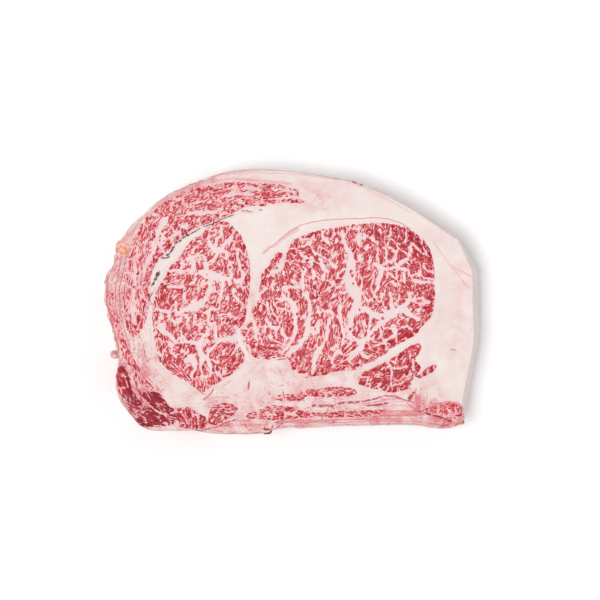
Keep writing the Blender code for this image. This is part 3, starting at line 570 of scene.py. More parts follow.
# The crevice beside the cap, in dashes: a real groove with painted shade in it. Then specks of dried blood,
# and painted shade along the top right rim with dark lines along the lower rims: run, width, strength.
SHADE_AND_SPECK_LINES = (
    (((-37, 55.2), (-40, 54), (-46, 51.5), (-51.5, 49), (-55, 48)), 0.6, 1.0),
    (((-59, 46), (-61.4, 44.7), (-63.7, 43.3)), 0.7, 1.0),
    (((-65.6, 42.3), (-66.4, 41.9)), 1.3, 1.0),
    (((-67.8, 41), (-69.5, 40.4)), 1.0, 1.0),
    (((-70.8, 38.9), (-71.2, 38.5)), 1.2, 1.0),
    (((-73.0, 37.5), (-73.4, 37.1)), 1.0, 1.0),
    (((-75.2, 34.2), (-77.6, 31)), 1.2, 1.0),
    (((-78.6, 30), (-79.4, 29.4)), 1.7, 1.0),
    (((-79, 27.8), (-82, 27.5)), 1.0, 1.0),
    (((-84.9, 17.8), (-85.5, 16.6)), 2.2, 1.0),
    (((-86.4, 14.5), (-86.8, 13.9)), 1.8, 1.0),
    (((-88.1, 11.5), (-88.5, 10.9)), 1.5, 1.0),
    (((-88.8, 5), (-90.5, 2), (-90, -1)), 0.6, 0.7),
    (((-90.6, 1), (-89.2, -2)), 0.5, 0.6),
    (((-30.6, 57.7), (-27.6, 57.6)), 0.6, 0.9),
    (((-26.6, 57.3), (-25.6, 57.1)), 0.6, 0.9),
    (((-19.8, 58.2), (-19, 58.1)), 0.6, 0.8),
    (((103, -31), (105.5, -31.6)), 0.3, 0.8),
    (((-96, -78), (-93.5, -79.6)), 0.9, 0.7),
    (((-88, -77.5), (-85.5, -76.8)), 0.9, 0.7),
    (((-61, -82.8), (-57.5, -84)), 0.9, 0.7),
    # Painted shade along the top right rim, where the side falls away from the light; then dark lines along
    # the lower rims.
    (((14, 81.4), (40, 76.4), (58, 69.8), (76, 60.2), (92, 49.8), (105, 41)), 0.9, 0.45),
    (((-3, -79.8), (30, -79.2), (66, -78.2), (90, -79.8), (110, -79.6)), 0.5, 0.42),
    (((-46, -84.6), (-30, -85), (-17, -84.2)), 0.8, 0.45),
)

# Which way the grains run: x, y and the direction in degrees from +X.
GRAIN_DIRECTIONS = (
    (12, 38, 40), (30, 42, 85), (50, 45, 92), (65, 44, 88), (80, 38, 115), (88, 30, 108), (90, 8, 92),
    (87, -7, 52), (80, -14, 38), (72, -21, 36), (61, -18, 62), (57, -31, 24), (42, -15, 82), (29, -14, 98),
    (20, -18, 84), (15, -12, 73), (8, -10, 74), (5, -22, 58), (10, -30, 62), (21, -31, 72), (31, -36, 38),
    (22, -43, 28), (-1, -16, 88), (-9, -5, 98), (-17, -5, 84), (-18, -22, 76), (-10, -23, 106),
    (-15, -33, 12), (-28, -20, 24), (-16, 9, 64), (-10, 25, 60), (-1, 19, 104), (6, 24, 135), (14, 29, 150),
    (22, 32, 80), (50, 32, 66), (67, 32, 140), (60, 8, 76), (51, 12, 74), (71, 12, 112), (80, 22, 130),
    (76, -5, 52), (28, 8, 62), (48, -26, 20), (36, 0, 64), (-50, 42, 50), (-40, 44, 62), (-45, 24, 58),
    (-35, 28, 95), (-30, 34, 112), (-30, 8, 92), (-60, 33, 44), (-71, 24, 40), (-76, 14, 38), (-65, 8, 46),
    (-57, 6, 62), (-80, 0, 98), (-87, -6, 94), (-70, -4, 44), (-48, 8, 66), (-42, 5, 70), (-45, -11, 60),
    (-34, -10, 56), (-55, -14, 62), (-70, -15, 58), (-78, -12, 22), (-64, -21, 44), (-85, -29, 82),
    (-78, -24, 128), (-75, -36, 72), (-68, -31, 48), (-73, -45, 140), (-63, -43, 42), (-57, -49, 95),
    (-51, -44, 98), (-50, -30, 50), (-40, -38, 40), (-38, -46, 26), (-33, -30, 52), (0, 70, 175),
    (-15, 68, 4), (-30, 68, 14), (-45, 66, 24), (-60, 60, 34), (-75, 55, 50), (-80, 38, 62), (-88, 45, 60),
    (-97, 35, 68), (-90, 20, 72), (-104, 15, 86), (-97, 5, 90), (-104, -10, 96), (-97, -15, 98),
    (-106, -27, 112), (-100, -40, 122), (-104, -50, 112), (-100, -60, 124), (-88, -61, 140),
    (-78, -70, 146), (-90, -73, 168), (-82, -77, 160), (-67, -75, 115), (-57, -76, 60), (-45, -70, 6),
    (-15, -70, 8), (0, -70, 168), (25, -58, 2), (30, -72, 176), (60, -66, 8), (100, -69, 176),
    (50, -48, 32), (62, -47, 42), (72, -40, 46), (76, -31, 40), (70, -51, 28), (88, -45, 46),
)
# The grains lie in bundles, whose middles are spread evenly over this stretch of X and of Y, and jittered.
BUNDLE_AREA = ((-128.0, 130.0), (-92.0, 94.0))
BUNDLE_SPACING = 8.0
BUNDLE_STRETCH = 1.5
BUNDLE_JITTER = 0.42
BUNDLE_TURN = 10.0
BUNDLE_APART = 7.3
BUNDLE_WANDER = 1.6
BUNDLE_WANDER_SIZE = 5.0
BUNDLE_GAP = (-0.15, 0.60)
BUNDLE_GAP_SIZE = 8.0
# The nearest of the directions above count the more, the higher this power of the distance is.
DIRECTION_POWER = 4
SEED = 11

# Darker places in the lean: x, y, radius along X and Y, strength.
DARK_PLACES = (
    (80, 36, 22, 15, 0.36),
    (6, 2, 18, 14, 0.10),
    (88, 20, 8, 22, 0.20),
    (16, 27, 14, 10, 0.15),
    (62, 42, 22, 8, 0.25),
    (-83, 8, 6, 22, 0.25),
    (-84, -32, 5, 12, 0.30),
    (-112, 0, 6, 40, -0.20),
    (-68, -32, 8, 5, 0.20),
    (66, -22, 20, 9, 0.26),
    (55, -53, 8, 3, 0.16),
    (72, -45.5, 6, 2.2, 0.16),
    (80, -30, 6, 5, -0.25),
    (30, 8, 16, 22, -0.12),
    (-64, 58, 44, 10, -0.14),
    (-98, 20, 8, 30, -0.25),
    (-110, -56, 5, 14, -0.28),
    (-101, -55, 4, 14, 0.30),
)
# Places with more fat between the grains or, below zero, less: x, y, radius along X and Y, change.
FATTY_PLACES = (
    (78, 36, 22, 14, -0.85),
    (28, 8, 16, 18, 0.28),
    (-98, 14, 8, 24, 0.20),
    (18, 36, 16, 10, -0.25),
    (86, 10, 9, 16, -0.20),
    (68, -26, 20, 10, -0.45),
    (-14, -26, 20, 10, -0.25),
    (-58, -28, 20, 14, -0.15),
    (-42, 32, 14, 14, -0.15),
    (6, -72, 26, 6, -0.35),
    (100, -70, 14, 7, -0.30),
    (-112, 8, 7, 24, 0.45),
    (-50, 66, 50, 9, -0.22),
)
# Where grains are longer or, below zero, shorter than elsewhere: x, y, radii, change.
LONG_GRAINS = (
    (30, -14, 18, 26, 0.80),
    (4, -14, 12, 20, 0.25),
    (-45, -32, 12, 12, 0.30),
    (60, 40, 40, 10, -0.28),
    (84, 20, 12, 24, -0.30),
    (12, 34, 16, 10, -0.30),
    (-60, 64, 60, 10, 0.15),
    (-102, 6, 11, 34, 1.20),
    (-40, -70, 80, 6, 0.30),
    (-98, -62, 18, 16, 2.20),
)
# Where grains are finer, by the share given.
FINE_GRAINS = (
    (-60, 64, 60, 12, 0.22),
    (-102, 10, 12, 50, 0.25),
    (80, 34, 24, 18, 0.18),
    (-95, -65, 22, 16, 0.35),
    (10, -71, 60, 5, 0.30),
    (15, -58, 30, 5, 0.32),
    (96, -70, 14, 6, 0.40),
    (66, -46, 20, 12, 0.30),
    (-45, -72, 12, 8, 0.25),
)
OUTSIDE = 12.0
FATTY_OUTSIDE = 0.5
MUSCLE_STEP = 2.2
POINTS_AT_ONCE = 20000
LINE_REACH = 3.0

# Places where fat and lean run in thin streaks along the block's side: x, y, radius along X and Y, strength.
STREAKY = (
    (-116, 10, 24, 80, 1.0),
    (-106, -34, 14, 30, 0.9),
    (-64, 74, 50, 9, 0.7),
    (56, -73, 50, 6, 0.6),
    (-40, -62, 50, 8, 0.25),
)
STREAK_STATIONS = 4

# The wall below the edge shows the meat from a little way inside it, and wanders with the depth.
SIDE_SAMPLE_DEPTH = 1.8
SIDE_EASE = 6.0
SIDE_WANDER = 2.2
SIDE_WANDER_SIZE = 26.0
SIDE_STRETCH = 3.0
SIDE_STREAK_SHARE = 0.25
SIDE_BLUSH = 0.52
CRAGS = 0.8
CRAG_SIZE = 2.4
SIDE_WRINKLE = 0.35
SIDE_WRINKLE_SIZE = 6.0
VEIN_WOBBLE = 0.55
VEIN_WOBBLE_SIZE = 2.4
FACE_DENT = 0.12
FACE_DENT_SIZE = 5.0
VEIN_SINK = 0.15
VEIN_SINK_WIDTH = 1.5
CRACK_DEPTH = 0.9
CRACK_EASE = 0.3

# Each kind of noise is drawn from its own number, and a pair of them takes two numbers.
BUNDLE_WANDER_SEED = 1
VEIN_WOBBLE_SEED = 3
SIDE_WANDER_SEED = 5
BUNDLE_GAP_SEED = 7
FACE_DENT_SEED = 8
SIDE_WRINKLE_SEED = 9
CRAG_SEED = 10
# How a whole-numbered place is mixed into a steady random number.
LATTICE_STEPS = (73856093, 19349663, 83492791)
LATTICE_SEED_STEP = 2654435761
LATTICE_MIX = 0x45D9F3B
LATTICE_TOP = 0xFFFFFFFF
LATTICE_SHIFT = 16
LATTICE_ROUNDS = 2

# The flat map: the face in the lower part, the side in two strips above it, the base in a corner.
MAP_ZERO = (123.0, 88.0)
MAP_SHARE = 0.88 / 246.0
SIDE_MAP_START = 0.995
SIDE_MAP_HEIGHT = 0.16
SIDE_MAP_STEP = 0.175
BASE_MAP_SHARE = 0.12
BASE_MAP_ZERO = (0.885, 0.05)

LUMP_DIVISIONS = 5
LUMP_DENT = 0.12
LUMP_DENT_SHARE = 0.6
LUMP_MOTTLE_RANGE = (0.38, 0.62)
LUMP_ROUGHNESS = (0.35, 0.55)

# Noise seldom goes beyond this span. The second output of a noise is its colour.
NOISE_SPAN = (0.3, 0.7)
NOISE_COLOUR = 1
# Numbers of a mix's inputs for its two colours, and of its output.
MIX_COLOURS = (6, 7)
MIX_RESULT = 2

# Grains: size across and along, in millimetres. Depth in a grain is measured in the noise's own units.
GRAIN_SIZE = (1.16, 2.9, 1.0)
GRAIN_WOBBLE = (1.8, 1.8, 0.0)
GRAIN_WOBBLE_SIZE = 3.0
GRAIN_LEVEL = 0.387
GRAIN_DETAIL = 1.5
FATTY_LEVEL = 0.10
VEIN_LEVEL = 0.04
VEIN_EASE = 0.9
VEIN_HEART = (-1.6, -0.1)
DARK_DENSER = 0.09
DENSER_FROM = 0.45
HAZE = 0.16
HAZE_RED = 0.42
FLANK_HAZE_RED = 0.64
GRAIN_SOFTNESS = 0.03
LEAN_RANGE = (-0.42, 0.20)
RAGGED = 2.0
FLANK_RAGGED = 4.0
RAGGED_SIZE = 1.6
# Thin lines of fat that wind along the grains.
THREAD_SIZE = (2.3, 7.0, 1.0)
THREAD_WIDTH = 0.050
THREAD_CUT = 0.20
# Redness runs from 0 in fat to 1 in the darkest lean.
GRAIN_RED = 0.93
HEART_RANGE = (0.09, 0.22)
HEART_PALER = 0.23
HEART_DARK = (0.55, 0.90)
WINE_DARK = (0.75, 1.05)
WINE_RED = (0.70, 1.00)
WINE_STRENGTH = 0.60
GRAIN_CHANGE = 1.45
GRAIN_CHANGE_SIZE = 1.1
DARK_REDDER = 0.42
REDDER_FROM = 0.4
DARK_CHANGE = 0.30
DARK_CHANGE_SIZE = 6.0
CLOUD_SIZE = 16.0
CLOUD_RANGE = (0.35, 0.75)
CLOUD_STRENGTH = 0.8
PATCH_SIZE = 7.0
PATCH_RANGE = (0.40, 0.62)
PATCHY_BLUSH = 0.9
EVEN_BLUSH = 0.35
MOTTLE_SIZE = 2.6
MOTTLE_RANGE = (0.36, 0.62)
LEAST_PINK = 0.25
MUSCLE_BORDER = (-3.0, 3.0)
SPECK_SIZE = (1.7, 0.9, 7.0)
SPECK_RANGE = (0.55, 0.63)
FULL_SPECK_BLUSH = 0.55
STREAK_SIZE = (1.2, 9.0, 1.0)
STREAK_RANGE = (0.47, 0.58)
STREAK_STRENGTH = 0.95
STREAK_BREAK_SIZE = 1.3
STREAK_BREAK_RANGE = (0.44, 0.56)
STREAK_BREAK_LEAST = 0.15
LINE_WANDER = 0.9
LINE_WANDER_SIZE = 3.0
PINK_SOFTNESS = 0.6
LEAN_LINE_SOFTNESS = 0.4
BREAK_SIZE = 1.8
BREAK_RANGE = (0.33, 0.50)
SHADE_AND_SPECK_SOFTNESS = 0.3
SHADE_AND_SPECK_RANGE = (0.2, 0.8)
SHADE_AND_SPECK_STRENGTH = 0.96
SHADE_AND_SPECK_BROKEN = 0.45
DAMP_SIZE = 9.0
DAMP_ROUGHNESS = (0.42, 0.58)
GRIT_SIZE = 1.2
GRIT = 0.35
GRAIN_HEIGHT = 0.5
BUMP_DISTANCE = 0.0002
BUMP_STRENGTH = 0.6
SPECULAR = 0.3

# Colours as they show on the screen, 0 to 255.
CREAM_FAT = (241, 228, 223)
VEIN_FAT = (237, 222, 221)
PINK_VEIN_FAT = (243, 204, 208)
PALE_PINK_FAT = (238, 212, 209)
BLUSH_RED = (222, 128, 134)
STREAK_RED = (214, 100, 108)
LINE_RED = (214, 96, 104)
RIM_WINE = (168, 34, 56)
# The lean's colours from the palest to the darkest, with the redness at which each is reached.
LEAN_COLOURS = (
    (0.12, (242, 208, 210)),
    (0.30, (243, 178, 182)),
    (0.46, (240, 146, 150)),
    (0.62, (231, 104, 110)),
    (0.76, (219, 67, 76)),
    (0.88, (203, 41, 54)),
    (1.00, (162, 18, 38)),
)
FLANK_WINE = (128, 12, 42)
# The dark of the painted shade in the crevice and along the rim, also the colour of the dark specks.
SHADE_AND_SPECK_DARK = (78, 10, 20)
NUGGET_PALE = (246, 202, 184)
NUGGET_ORANGE = (237, 150, 122)
BALL_PINK = (242, 196, 194)
BALL_RED = (220, 140, 144)
TAG_PINK = (232, 150, 150)
TAG_RED = (196, 70, 74)
TAG_DARK = (96, 36, 36)
# The small lumps on the rim: X, Y and depth below the face, radii, material with its two colours and the
# size of its mottling, and the number that its noise is drawn from.
LUMPS = (
    ("nugget", (-107.4, 33.4, 2.2), (5.2, 6.0, 3.4), "dried_fat", (NUGGET_PALE, NUGGET_ORANGE), 3.0, 21),
    ("ball", (-113.4, -34.2, 5.0), (2.6, 2.8, 2.8), "ball_lean", (BALL_PINK, BALL_RED), 2.0, 22),
    ("corner_tag", (109.0, -77.4, 2.2), (2.2, 1.8, 2.0), "tag_lean", (TAG_PINK, TAG_RED), 2.0, 23),
    ("notch_tag", (-15.4, -83.6, 2.6), (3.2, 2.0, 2.2), "tag_dark", (TAG_RED, TAG_DARK), 1.6, 24),
)
# The screen's curve, from a shown value to the light that it stands for.
SCREEN_TOP = 255.0
SCREEN_FOOT = 0.04045
SCREEN_FOOT_SLOPE = 12.92
SCREEN_OFFSET = 0.055
SCREEN_POWER = 2.4
# The surfaces' own colours are darker than those on the screen by the light that falls from above.
LIGHT_FROM_ABOVE = 1.15
FLOOR_COLOUR = (0.92, 0.92, 0.92, 1.0)
FLOOR_HALF = 3.0
FLOOR_GRAIN_SIZE = 4.0
FLOOR_ROUGHNESS = (0.6, 0.75)
FLOOR_SPECULAR = 0.1

# Light: the surround, and a key that leans this far from straight down and comes from this bearing.
SURROUND_STRENGTH = 0.66
KEY_STRENGTH = 1.6
KEY_WIDTH = 18.0
KEY_LEAN = 12.0
KEY_BEARING = 196.0

# The camera looks straight down. A photograph pixel spans this much of the face.
MM_PER_PIXEL = 0.64
PHOTO_PIXELS = 600
ZERO_PIXEL = (291.0, 301.0)
CAMERA_DISTANCE = 2.4
CAMERA_REACH = 20.0
SENSOR_WIDTH = 36.0


def smooth_step(value):
    value = np.clip(value, 0.0, 1.0)
    return value * value * (3.0 - 2.0 * value)


def lattice_value(cell, seed):
    """A steady random number from -1 to 1 for each whole-numbered cell."""
    mixed = cell.astype(np.int64) @ np.array(LATTICE_STEPS, dtype=np.int64)
    mixed = (mixed + seed * LATTICE_SEED_STEP) & LATTICE_TOP
    for _ in range(LATTICE_ROUNDS):
        mixed = ((mixed ^ (mixed >> LATTICE_SHIFT)) * LATTICE_MIX) & LATTICE_TOP
    mixed = mixed ^ (mixed >> LATTICE_SHIFT)
    return mixed / (LATTICE_TOP // 2) - 1.0


def noise(points, size, seed):
    """Smooth noise from -1 to 1 at points in space, with features of the given size."""
    scaled = points / size
    cell = np.floor(scaled)
    part = smooth_step(scaled - cell)
    total = np.zeros(len(points))
    for corner in np.ndindex(2, 2, 2):
        weight = np.prod(np.where(np.array(corner) == 1, part, 1.0 - part), axis=1)
        total += weight * lattice_value(cell + np.array(corner), seed)
    return total


def noise_pair(points, size, seed):
    return np.column_stack((noise(points, size, seed), noise(points, size, seed + 1)))


def catmull_rom(before, start, after, beyond, t):
    return 0.5 * (
        2.0 * start
        + (after - before) * t
        + (2.0 * before - 5.0 * start + 4.0 * after - beyond) * t**2
        + (3.0 * start - before - 3.0 * after + beyond) * t**3
    )


def fine_loop(points):
    """A closed smooth curve with a fixed number of points for each given one."""
    points = np.array(points, dtype=float)
    before, after, beyond = (np.roll(points, shift, axis=0) for shift in (1, -1, -2))
    fine = [catmull_rom(before, points, after, beyond, t) for t in np.arange(FINE_STEPS) / FINE_STEPS]
    return np.stack(fine, axis=1).reshape(-1, points.shape[1])


def closed(line):
    return np.vstack((line, line[:1]))


def running_length(line):
    """The length along a line from its first point to each of its points."""
    gaps = np.linalg.norm(np.diff(line[:, :2], axis=0), axis=1)
    return np.concatenate(((0.0,), np.cumsum(gaps)))


def respaced(line, count):
    """An open line as a number of evenly spaced points, its last point left out."""
    along = running_length(line)
    wanted = np.linspace(0.0, along[-1], count, endpoint=False)
    return np.column_stack([np.interp(wanted, along, column) for column in line.T])


def closed_curve(points, step):
    fine = closed(fine_loop(points))
    return respaced(fine, round(running_length(fine)[-1] / step))


def outline_stations():
    """The outline, split at the grid's corners so that each stretch fits one side of the grid."""
    fine = fine_loop(OUTLINE)
    counts = (GRID_ALONG, GRID_ACROSS, GRID_ALONG, GRID_ACROSS)
    stretches = []
    for number, corner in enumerate(GRID_CORNERS):
        following = GRID_CORNERS[(number + 1) % len(GRID_CORNERS)]
        first, last = corner * FINE_STEPS, following * FINE_STEPS
        if last < first:
            last += len(fine)
        line = fine[np.arange(first, last + 1) % len(fine)]
        stretches.append(respaced(line, counts[number]))
    return np.vstack(stretches)


def outward(curve):
    """Unit vectors that point out of a closed curve that runs clockwise, turning slowly at corners."""
    spacing = np.linalg.norm(curve - np.roll(curve, 1, axis=0), axis=1).mean()
    reach = max(1, round(NORMAL_REACH_MM / spacing))
    run = np.roll(curve, -reach, axis=0) - np.roll(curve, reach, axis=0)
    run = run / np.linalg.norm(run, axis=1, keepdims=True)
    return np.column_stack((-run[:, 1], run[:, 0]))


def nearest_on_segment(points, start, end):
    """How far along a straight segment each point's nearest place is, 0 to 1, and the distance to it."""
    dx, dy = end[:2] - start[:2]
    x, y = points[:, 0] - start[0], points[:, 1] - start[1]
    share = np.clip((x * dx + y * dy) / (dx * dx + dy * dy), 0.0, 1.0)
    return share, np.hypot(x - share * dx, y - share * dy)


def nearest_on_run(points, run):
    """Distance from each point to an open run, the side that it lies on, and the run's further values."""
    run = np.array(run, dtype=float)
    nearest = np.full(len(points), np.inf)
    side = np.ones(len(points))
    values = np.zeros((len(points), run.shape[1] - 2))
    for start, end in zip(run[:-1], run[1:]):
        share, distance = nearest_on_segment(points, start, end)
        closer = distance < nearest
        nearest = np.where(closer, distance, nearest)
        dx, dy = end[:2] - start[:2]
        turn = (points[:, 0] - start[0]) * dy - (points[:, 1] - start[1]) * dx
        side = np.where(closer, np.where(turn > 0.0, 1.0, -1.0), side)
        found = start[2:] + share[:, None] * (end[2:] - start[2:])
        values = np.where(closer[:, None], found, values)
    return nearest, side, values


def depth_inside(points, curve):
    """How far each point lies inside the closed curve, negative outside it."""
    nearest = np.full(len(points), np.inf)
    inside = np.zeros(len(points), dtype=bool)
    x, y = points[:, 0], points[:, 1]
    for start, end in zip(curve, np.roll(curve, -1, axis=0)):
        nearest = np.minimum(nearest, nearest_on_segment(points, start, end)[1])
        (x0, y0), (dx, dy) = start, end - start
        if dy != 0.0:
            crosses = (y0 > y) != (y0 + dy > y)
            inside ^= crosses & (x < x0 + (y - y0) * dx / dy)
    return np.where(inside, nearest, -nearest)


def grid_in_ring(rim, along, across):
    """Points spread over a flat face between the four stretches of its rim, row by row."""
    ends = np.cumsum((along, across, along, across))
    ring = closed(rim)
    top = ring[: ends[0] + 1]
    right = ring[ends[0] : ends[1] + 1]
    bottom = ring[ends[1] : ends[2] + 1][::-1]
    left = ring[ends[2] : ends[3] + 1][::-1]
    u = np.linspace(0.0, 1.0, along + 1)[None, :, None]
    v = np.linspace(0.0, 1.0, across + 1)[:, None, None]
    down = (1.0 - v) * top[None] + v * bottom[None]
    over = (1.0 - u) * left[:, None] + u * right[:, None]
    corners = (
        (1.0 - u) * (1.0 - v) * top[0]
        + u * (1.0 - v) * top[-1]
        + (1.0 - u) * v * bottom[0]
        + u * v * bottom[-1]
    )
    return down + over - corners


def ring_indices(rows, columns):
    """Indices of a grid's border, clockwise from its first point."""
    grid = np.arange(rows * columns).reshape(rows, columns)
    return np.concatenate((grid[0, :-1], grid[:-1, -1], grid[-1, :0:-1], grid[:0:-1, 0]))


def grid_quads(rows, columns):
    grid = np.arange(rows * columns).reshape(rows, columns)
    return np.stack((grid[:-1, :-1], grid[1:, :-1], grid[1:, 1:], grid[:-1, 1:]), axis=-1).reshape(-1, 4)


def edge_profile(inset, depth, turn):
    """Offset from the block's side and drop below the face, at a turn of 0 to 1 over the edge."""
    roundness = np.clip((FLARED_DEPTH - depth) / (FLARED_DEPTH - ROUND_DEPTH), FLARED_ROUNDNESS, 1.0)
    angle = turn * math.pi / 2.0
    out = roundness * math.sin(angle) + (1.0 - roundness) * turn
    down = roundness * (1.0 - math.cos(angle)) + (1.0 - roundness) * turn
    return -inset * (1.0 - out), depth * down


def ripple_depth(turns, share):
    waves = [1.0 - np.sin(count * turns + slant * share + start) for count, slant, start in RIPPLES]
    return RIPPLE * math.sin(share * RIPPLE_GROWTH) * sum(waves) / len(RIPPLES)


def start_turns(outline):
    """The angle round the block of each station, counted from the outline's first measured point."""
    along = running_length(closed(outline))
    zero = np.linalg.norm(outline[:, :2] - np.array(OUTLINE[0][:2]), axis=1).argmin()
    return math.tau * ((along[:-1] - along[zero]) / along[-1] % 1.0)


def side_rows(outline):
    """The rows of points from below the rim down to the base, and how far down each row is, 0 to 1."""
    curve = outline[:, :2]
    normal = outward(curve)
    inset, depth = outline[:, 2], outline[:, 3]
    turns = start_turns(outline)
    draw_in = DRAW_IN + DRAW_IN_CHANGE * np.sin(2.0 * turns)
    rows = []
    for row in range(1, EDGE_ROWS + 1):
        offset, drop = edge_profile(inset, depth, row / EDGE_ROWS)
        rows.append(np.column_stack((curve + normal * offset[:, None], THICKNESS - drop)))
    below = THICKNESS - depth
    for row in range(1, SIDE_ROWS + 1):
        share = row / SIDE_ROWS
        height = below + (BASE_ROUNDING - below) * share
        offset = -draw_in * share**2 - ripple_depth(turns, share)
        rows.append(np.column_stack((curve + normal * offset[:, None], height)))
    for row in range(1, BASE_ROWS + 1):
        angle = row / BASE_ROWS * math.pi / 2.0
        offset = -draw_in - ripple_depth(turns, 1.0) - BASE_ROUNDING * (1.0 - math.cos(angle))
        height = np.full(len(curve), BASE_ROUNDING * (1.0 - math.sin(angle)))
        rows.append(np.column_stack((curve + normal * offset[:, None], height)))
    return rows


def block_points_and_faces():
    """The whole block: the face's grid, the side's rows and the base's coarser grid."""
    outline = outline_stations()
    rim = outline[:, :2] - outward(outline[:, :2]) * outline[:, 2:3]
    top = grid_in_ring(rim, GRID_ALONG, GRID_ACROSS)
    rows, columns = top.shape[:2]
    points = [np.column_stack((top.reshape(-1, 2), np.full(rows * columns, THICKNESS)))]
    faces = [grid_quads(rows, columns)]
    ring = ring_indices(rows, columns)
    first = rows * columns
    sides = side_rows(outline)
    around = len(outline)
    after = np.roll(np.arange(around), -1)
    for row in sides:
        lower = first + np.arange(around)
        faces.append(np.column_stack((ring, ring[after], lower[after], lower)))
        points.append(row)
        ring = lower
        first += around
    base_points, base_quads, triangles = base_part(sides[-1], ring, first)
    points.append(base_points)
    faces.append(base_quads)
    return np.vstack(points), np.vstack(faces), triangles, outline, around * len(sides)


def base_part(lowest_row, ring, first):
    """The base's grid, whose points are numbered from the given one, and its join to the side's ring."""
    base_ring = lowest_row[::BASE_SHARE, :2]
    middle = base_ring.mean(axis=0)
    rim = middle + (base_ring - middle) * BASE_GRID_SHARE
    base = grid_in_ring(rim, GRID_ALONG // BASE_SHARE, GRID_ACROSS // BASE_SHARE)
    rows, columns = base.shape[:2]
    points = np.column_stack((base.reshape(-1, 2), np.zeros(rows * columns)))
    quads = grid_quads(rows, columns)[:, ::-1] + first
    return points, quads, join_rings(ring, first + ring_indices(rows, columns))


def join_rings(outer, inner):
    """Triangles between a fine ring and one with a quarter of its points."""
    triangles = []
    for number in range(len(inner)):
        start = number * BASE_SHARE
        near = inner[number]
        following = inner[(number + 1) % len(inner)]
        steps = [outer[(start + step) % len(outer)] for step in range(BASE_SHARE + 1)]
        for step in range(BASE_SHARE):
            centre = near if step < BASE_SHARE // 2 else following
            triangles.append((steps[step], steps[step + 1], centre))
        triangles.append((steps[BASE_SHARE // 2], following, near))
    return np.array(triangles)


def bundle_seeds():
    """The middles of the grain bundles, and the direction of the grains in each."""
    random = np.random.default_rng(SEED)
    x, y = (np.arange(low, high, BUNDLE_SPACING) for low, high in BUNDLE_AREA)
    middles = np.stack(np.meshgrid(x, y), axis=-1).reshape(-1, 2)
    middles = middles + random.uniform(-BUNDLE_JITTER, BUNDLE_JITTER, middles.shape) * BUNDLE_SPACING
    known = np.array(GRAIN_DIRECTIONS, dtype=float)
    away = np.linalg.norm(middles[:, None] - known[None, :, :2], axis=2)
    weight = 1.0 / (away + 1.0) ** DIRECTION_POWER
    doubled = np.radians(known[:, 2]) * 2.0
    angles = np.arctan2(weight @ np.sin(doubled), weight @ np.cos(doubled)) / 2.0
    angles = angles + np.radians(BUNDLE_TURN) * random.uniform(-1.0, 1.0, len(angles))
    return middles, angles


def bundle_fields(points):
    """The bundle that each point is in, its distance to the border, and its place in the bundles' plane."""
    middles, angles = bundle_seeds()
    places = points[:, :2] + BUNDLE_WANDER * noise_pair(points, BUNDLE_WANDER_SIZE, BUNDLE_WANDER_SEED)
    bundle = np.zeros(len(points), dtype=int)
    border = np.zeros(len(points))
    for start in range(0, len(points), POINTS_AT_ONCE):
        part = slice(start, start + POINTS_AT_ONCE)
        across, along = bundle_place(places[part, None], middles, angles)
        distance = np.hypot(across, along / BUNDLE_STRETCH)
        order = np.argpartition(distance, 1, axis=1)[:, :2]
        pair = np.take_along_axis(distance, order, axis=1)
        bundle[part] = np.take_along_axis(order, pair.argmin(axis=1)[:, None], axis=1)[:, 0]
        border[part] = np.abs(pair[:, 0] - pair[:, 1]) / 2.0
    return bundle, border, places


def bundle_place(places, middles, angles):
    """How far places lie across and along the grains from the middle of a bundle."""
    delta = places - middles
    cosine, sine = np.cos(angles), np.sin(angles)
    return delta[..., 1] * cosine - delta[..., 0] * sine, delta[..., 0] * cosine + delta[..., 1] * sine


def grain_corners(places, bundle, faces):
    """Place across and along the grains for each corner of each face: a face is all in one bundle."""
    middles, angles = bundle_seeds()
    stretch = 1.0 + spot_field(middles, LONG_GRAINS)
    fineness = 1.0 - spot_field(middles, FINE_GRAINS)
    chosen = np.repeat(bundle[faces[:, :1]], faces.shape[1], axis=1)
    across, along = bundle_place(places[faces], middles[chosen], angles[chosen])
    across, along = across / fineness[chosen], along / (stretch * fineness)[chosen]
    return np.stack((across + chosen * BUNDLE_APART, along, 0.0 * across), axis=-1)


def near_curve(points, curve, reach):
    low = curve[:, :2].min(axis=0) - reach
    high = curve[:, :2].max(axis=0) + reach
    return np.flatnonzero(((points[:, :2] > low) & (points[:, :2] < high)).all(axis=1))


def face_waves(points):
    """The slow waves in the cut face's height."""
    height = np.zeros(len(points))
    for size, length, direction in WAVES:
        along = points[:, 0] * math.cos(direction) + points[:, 1] * math.sin(direction)
        height += size * np.sin(math.tau * along / length)
    return height


def muscle_fields(points):
    """Depth inside the nearest muscle, its darkness and fattiness, and the cut face's height."""
    depth = np.full(len(points), -OUTSIDE)
    dark = np.zeros(len(points))
    fatty = np.full(len(points), FATTY_OUTSIDE)
    height = face_waves(points)
    for outline, rise, darkness, fattiness in MUSCLES:
        curve = closed_curve(outline, MUSCLE_STEP)
        near = near_curve(points, curve, OUTSIDE)
        inside = depth_inside(points[near], curve)
        height[near] += rise * smooth_step(inside / MUSCLE_EDGE)
        height[near] -= SEAM_DEPTH * np.exp(-((inside / SEAM_WIDTH) ** 2))
        deeper = inside > depth[near]
        depth[near] = np.where(deeper, inside, depth[near])
        dark[near] = np.where(deeper, darkness, dark[near])
        fatty[near] = np.where(deeper, fattiness, fatty[near])
    dark += spot_field(points, DARK_PLACES)
    fatty += spot_field(points, FATTY_PLACES)
    return depth, dark, fatty, height


def vein_depth(points, veins):
    """How deep each point lies in the nearest vein of fat, negative outside all of them."""
    depth = np.full(len(points), -OUTSIDE)
    for run in veins:
        distance, _, width = nearest_on_run(points, run)
        depth = np.maximum(depth, width[:, 0] / 2.0 - distance)
    return depth


def speck_depth(points):
    """How deep each point lies in the nearest speck of lean, negative outside all of them."""
    x, y = points[:, 0], points[:, 1]
    return np.max([radius - np.hypot(x - right, y - up) for right, up, radius in LEAN_SPECKS], axis=0)


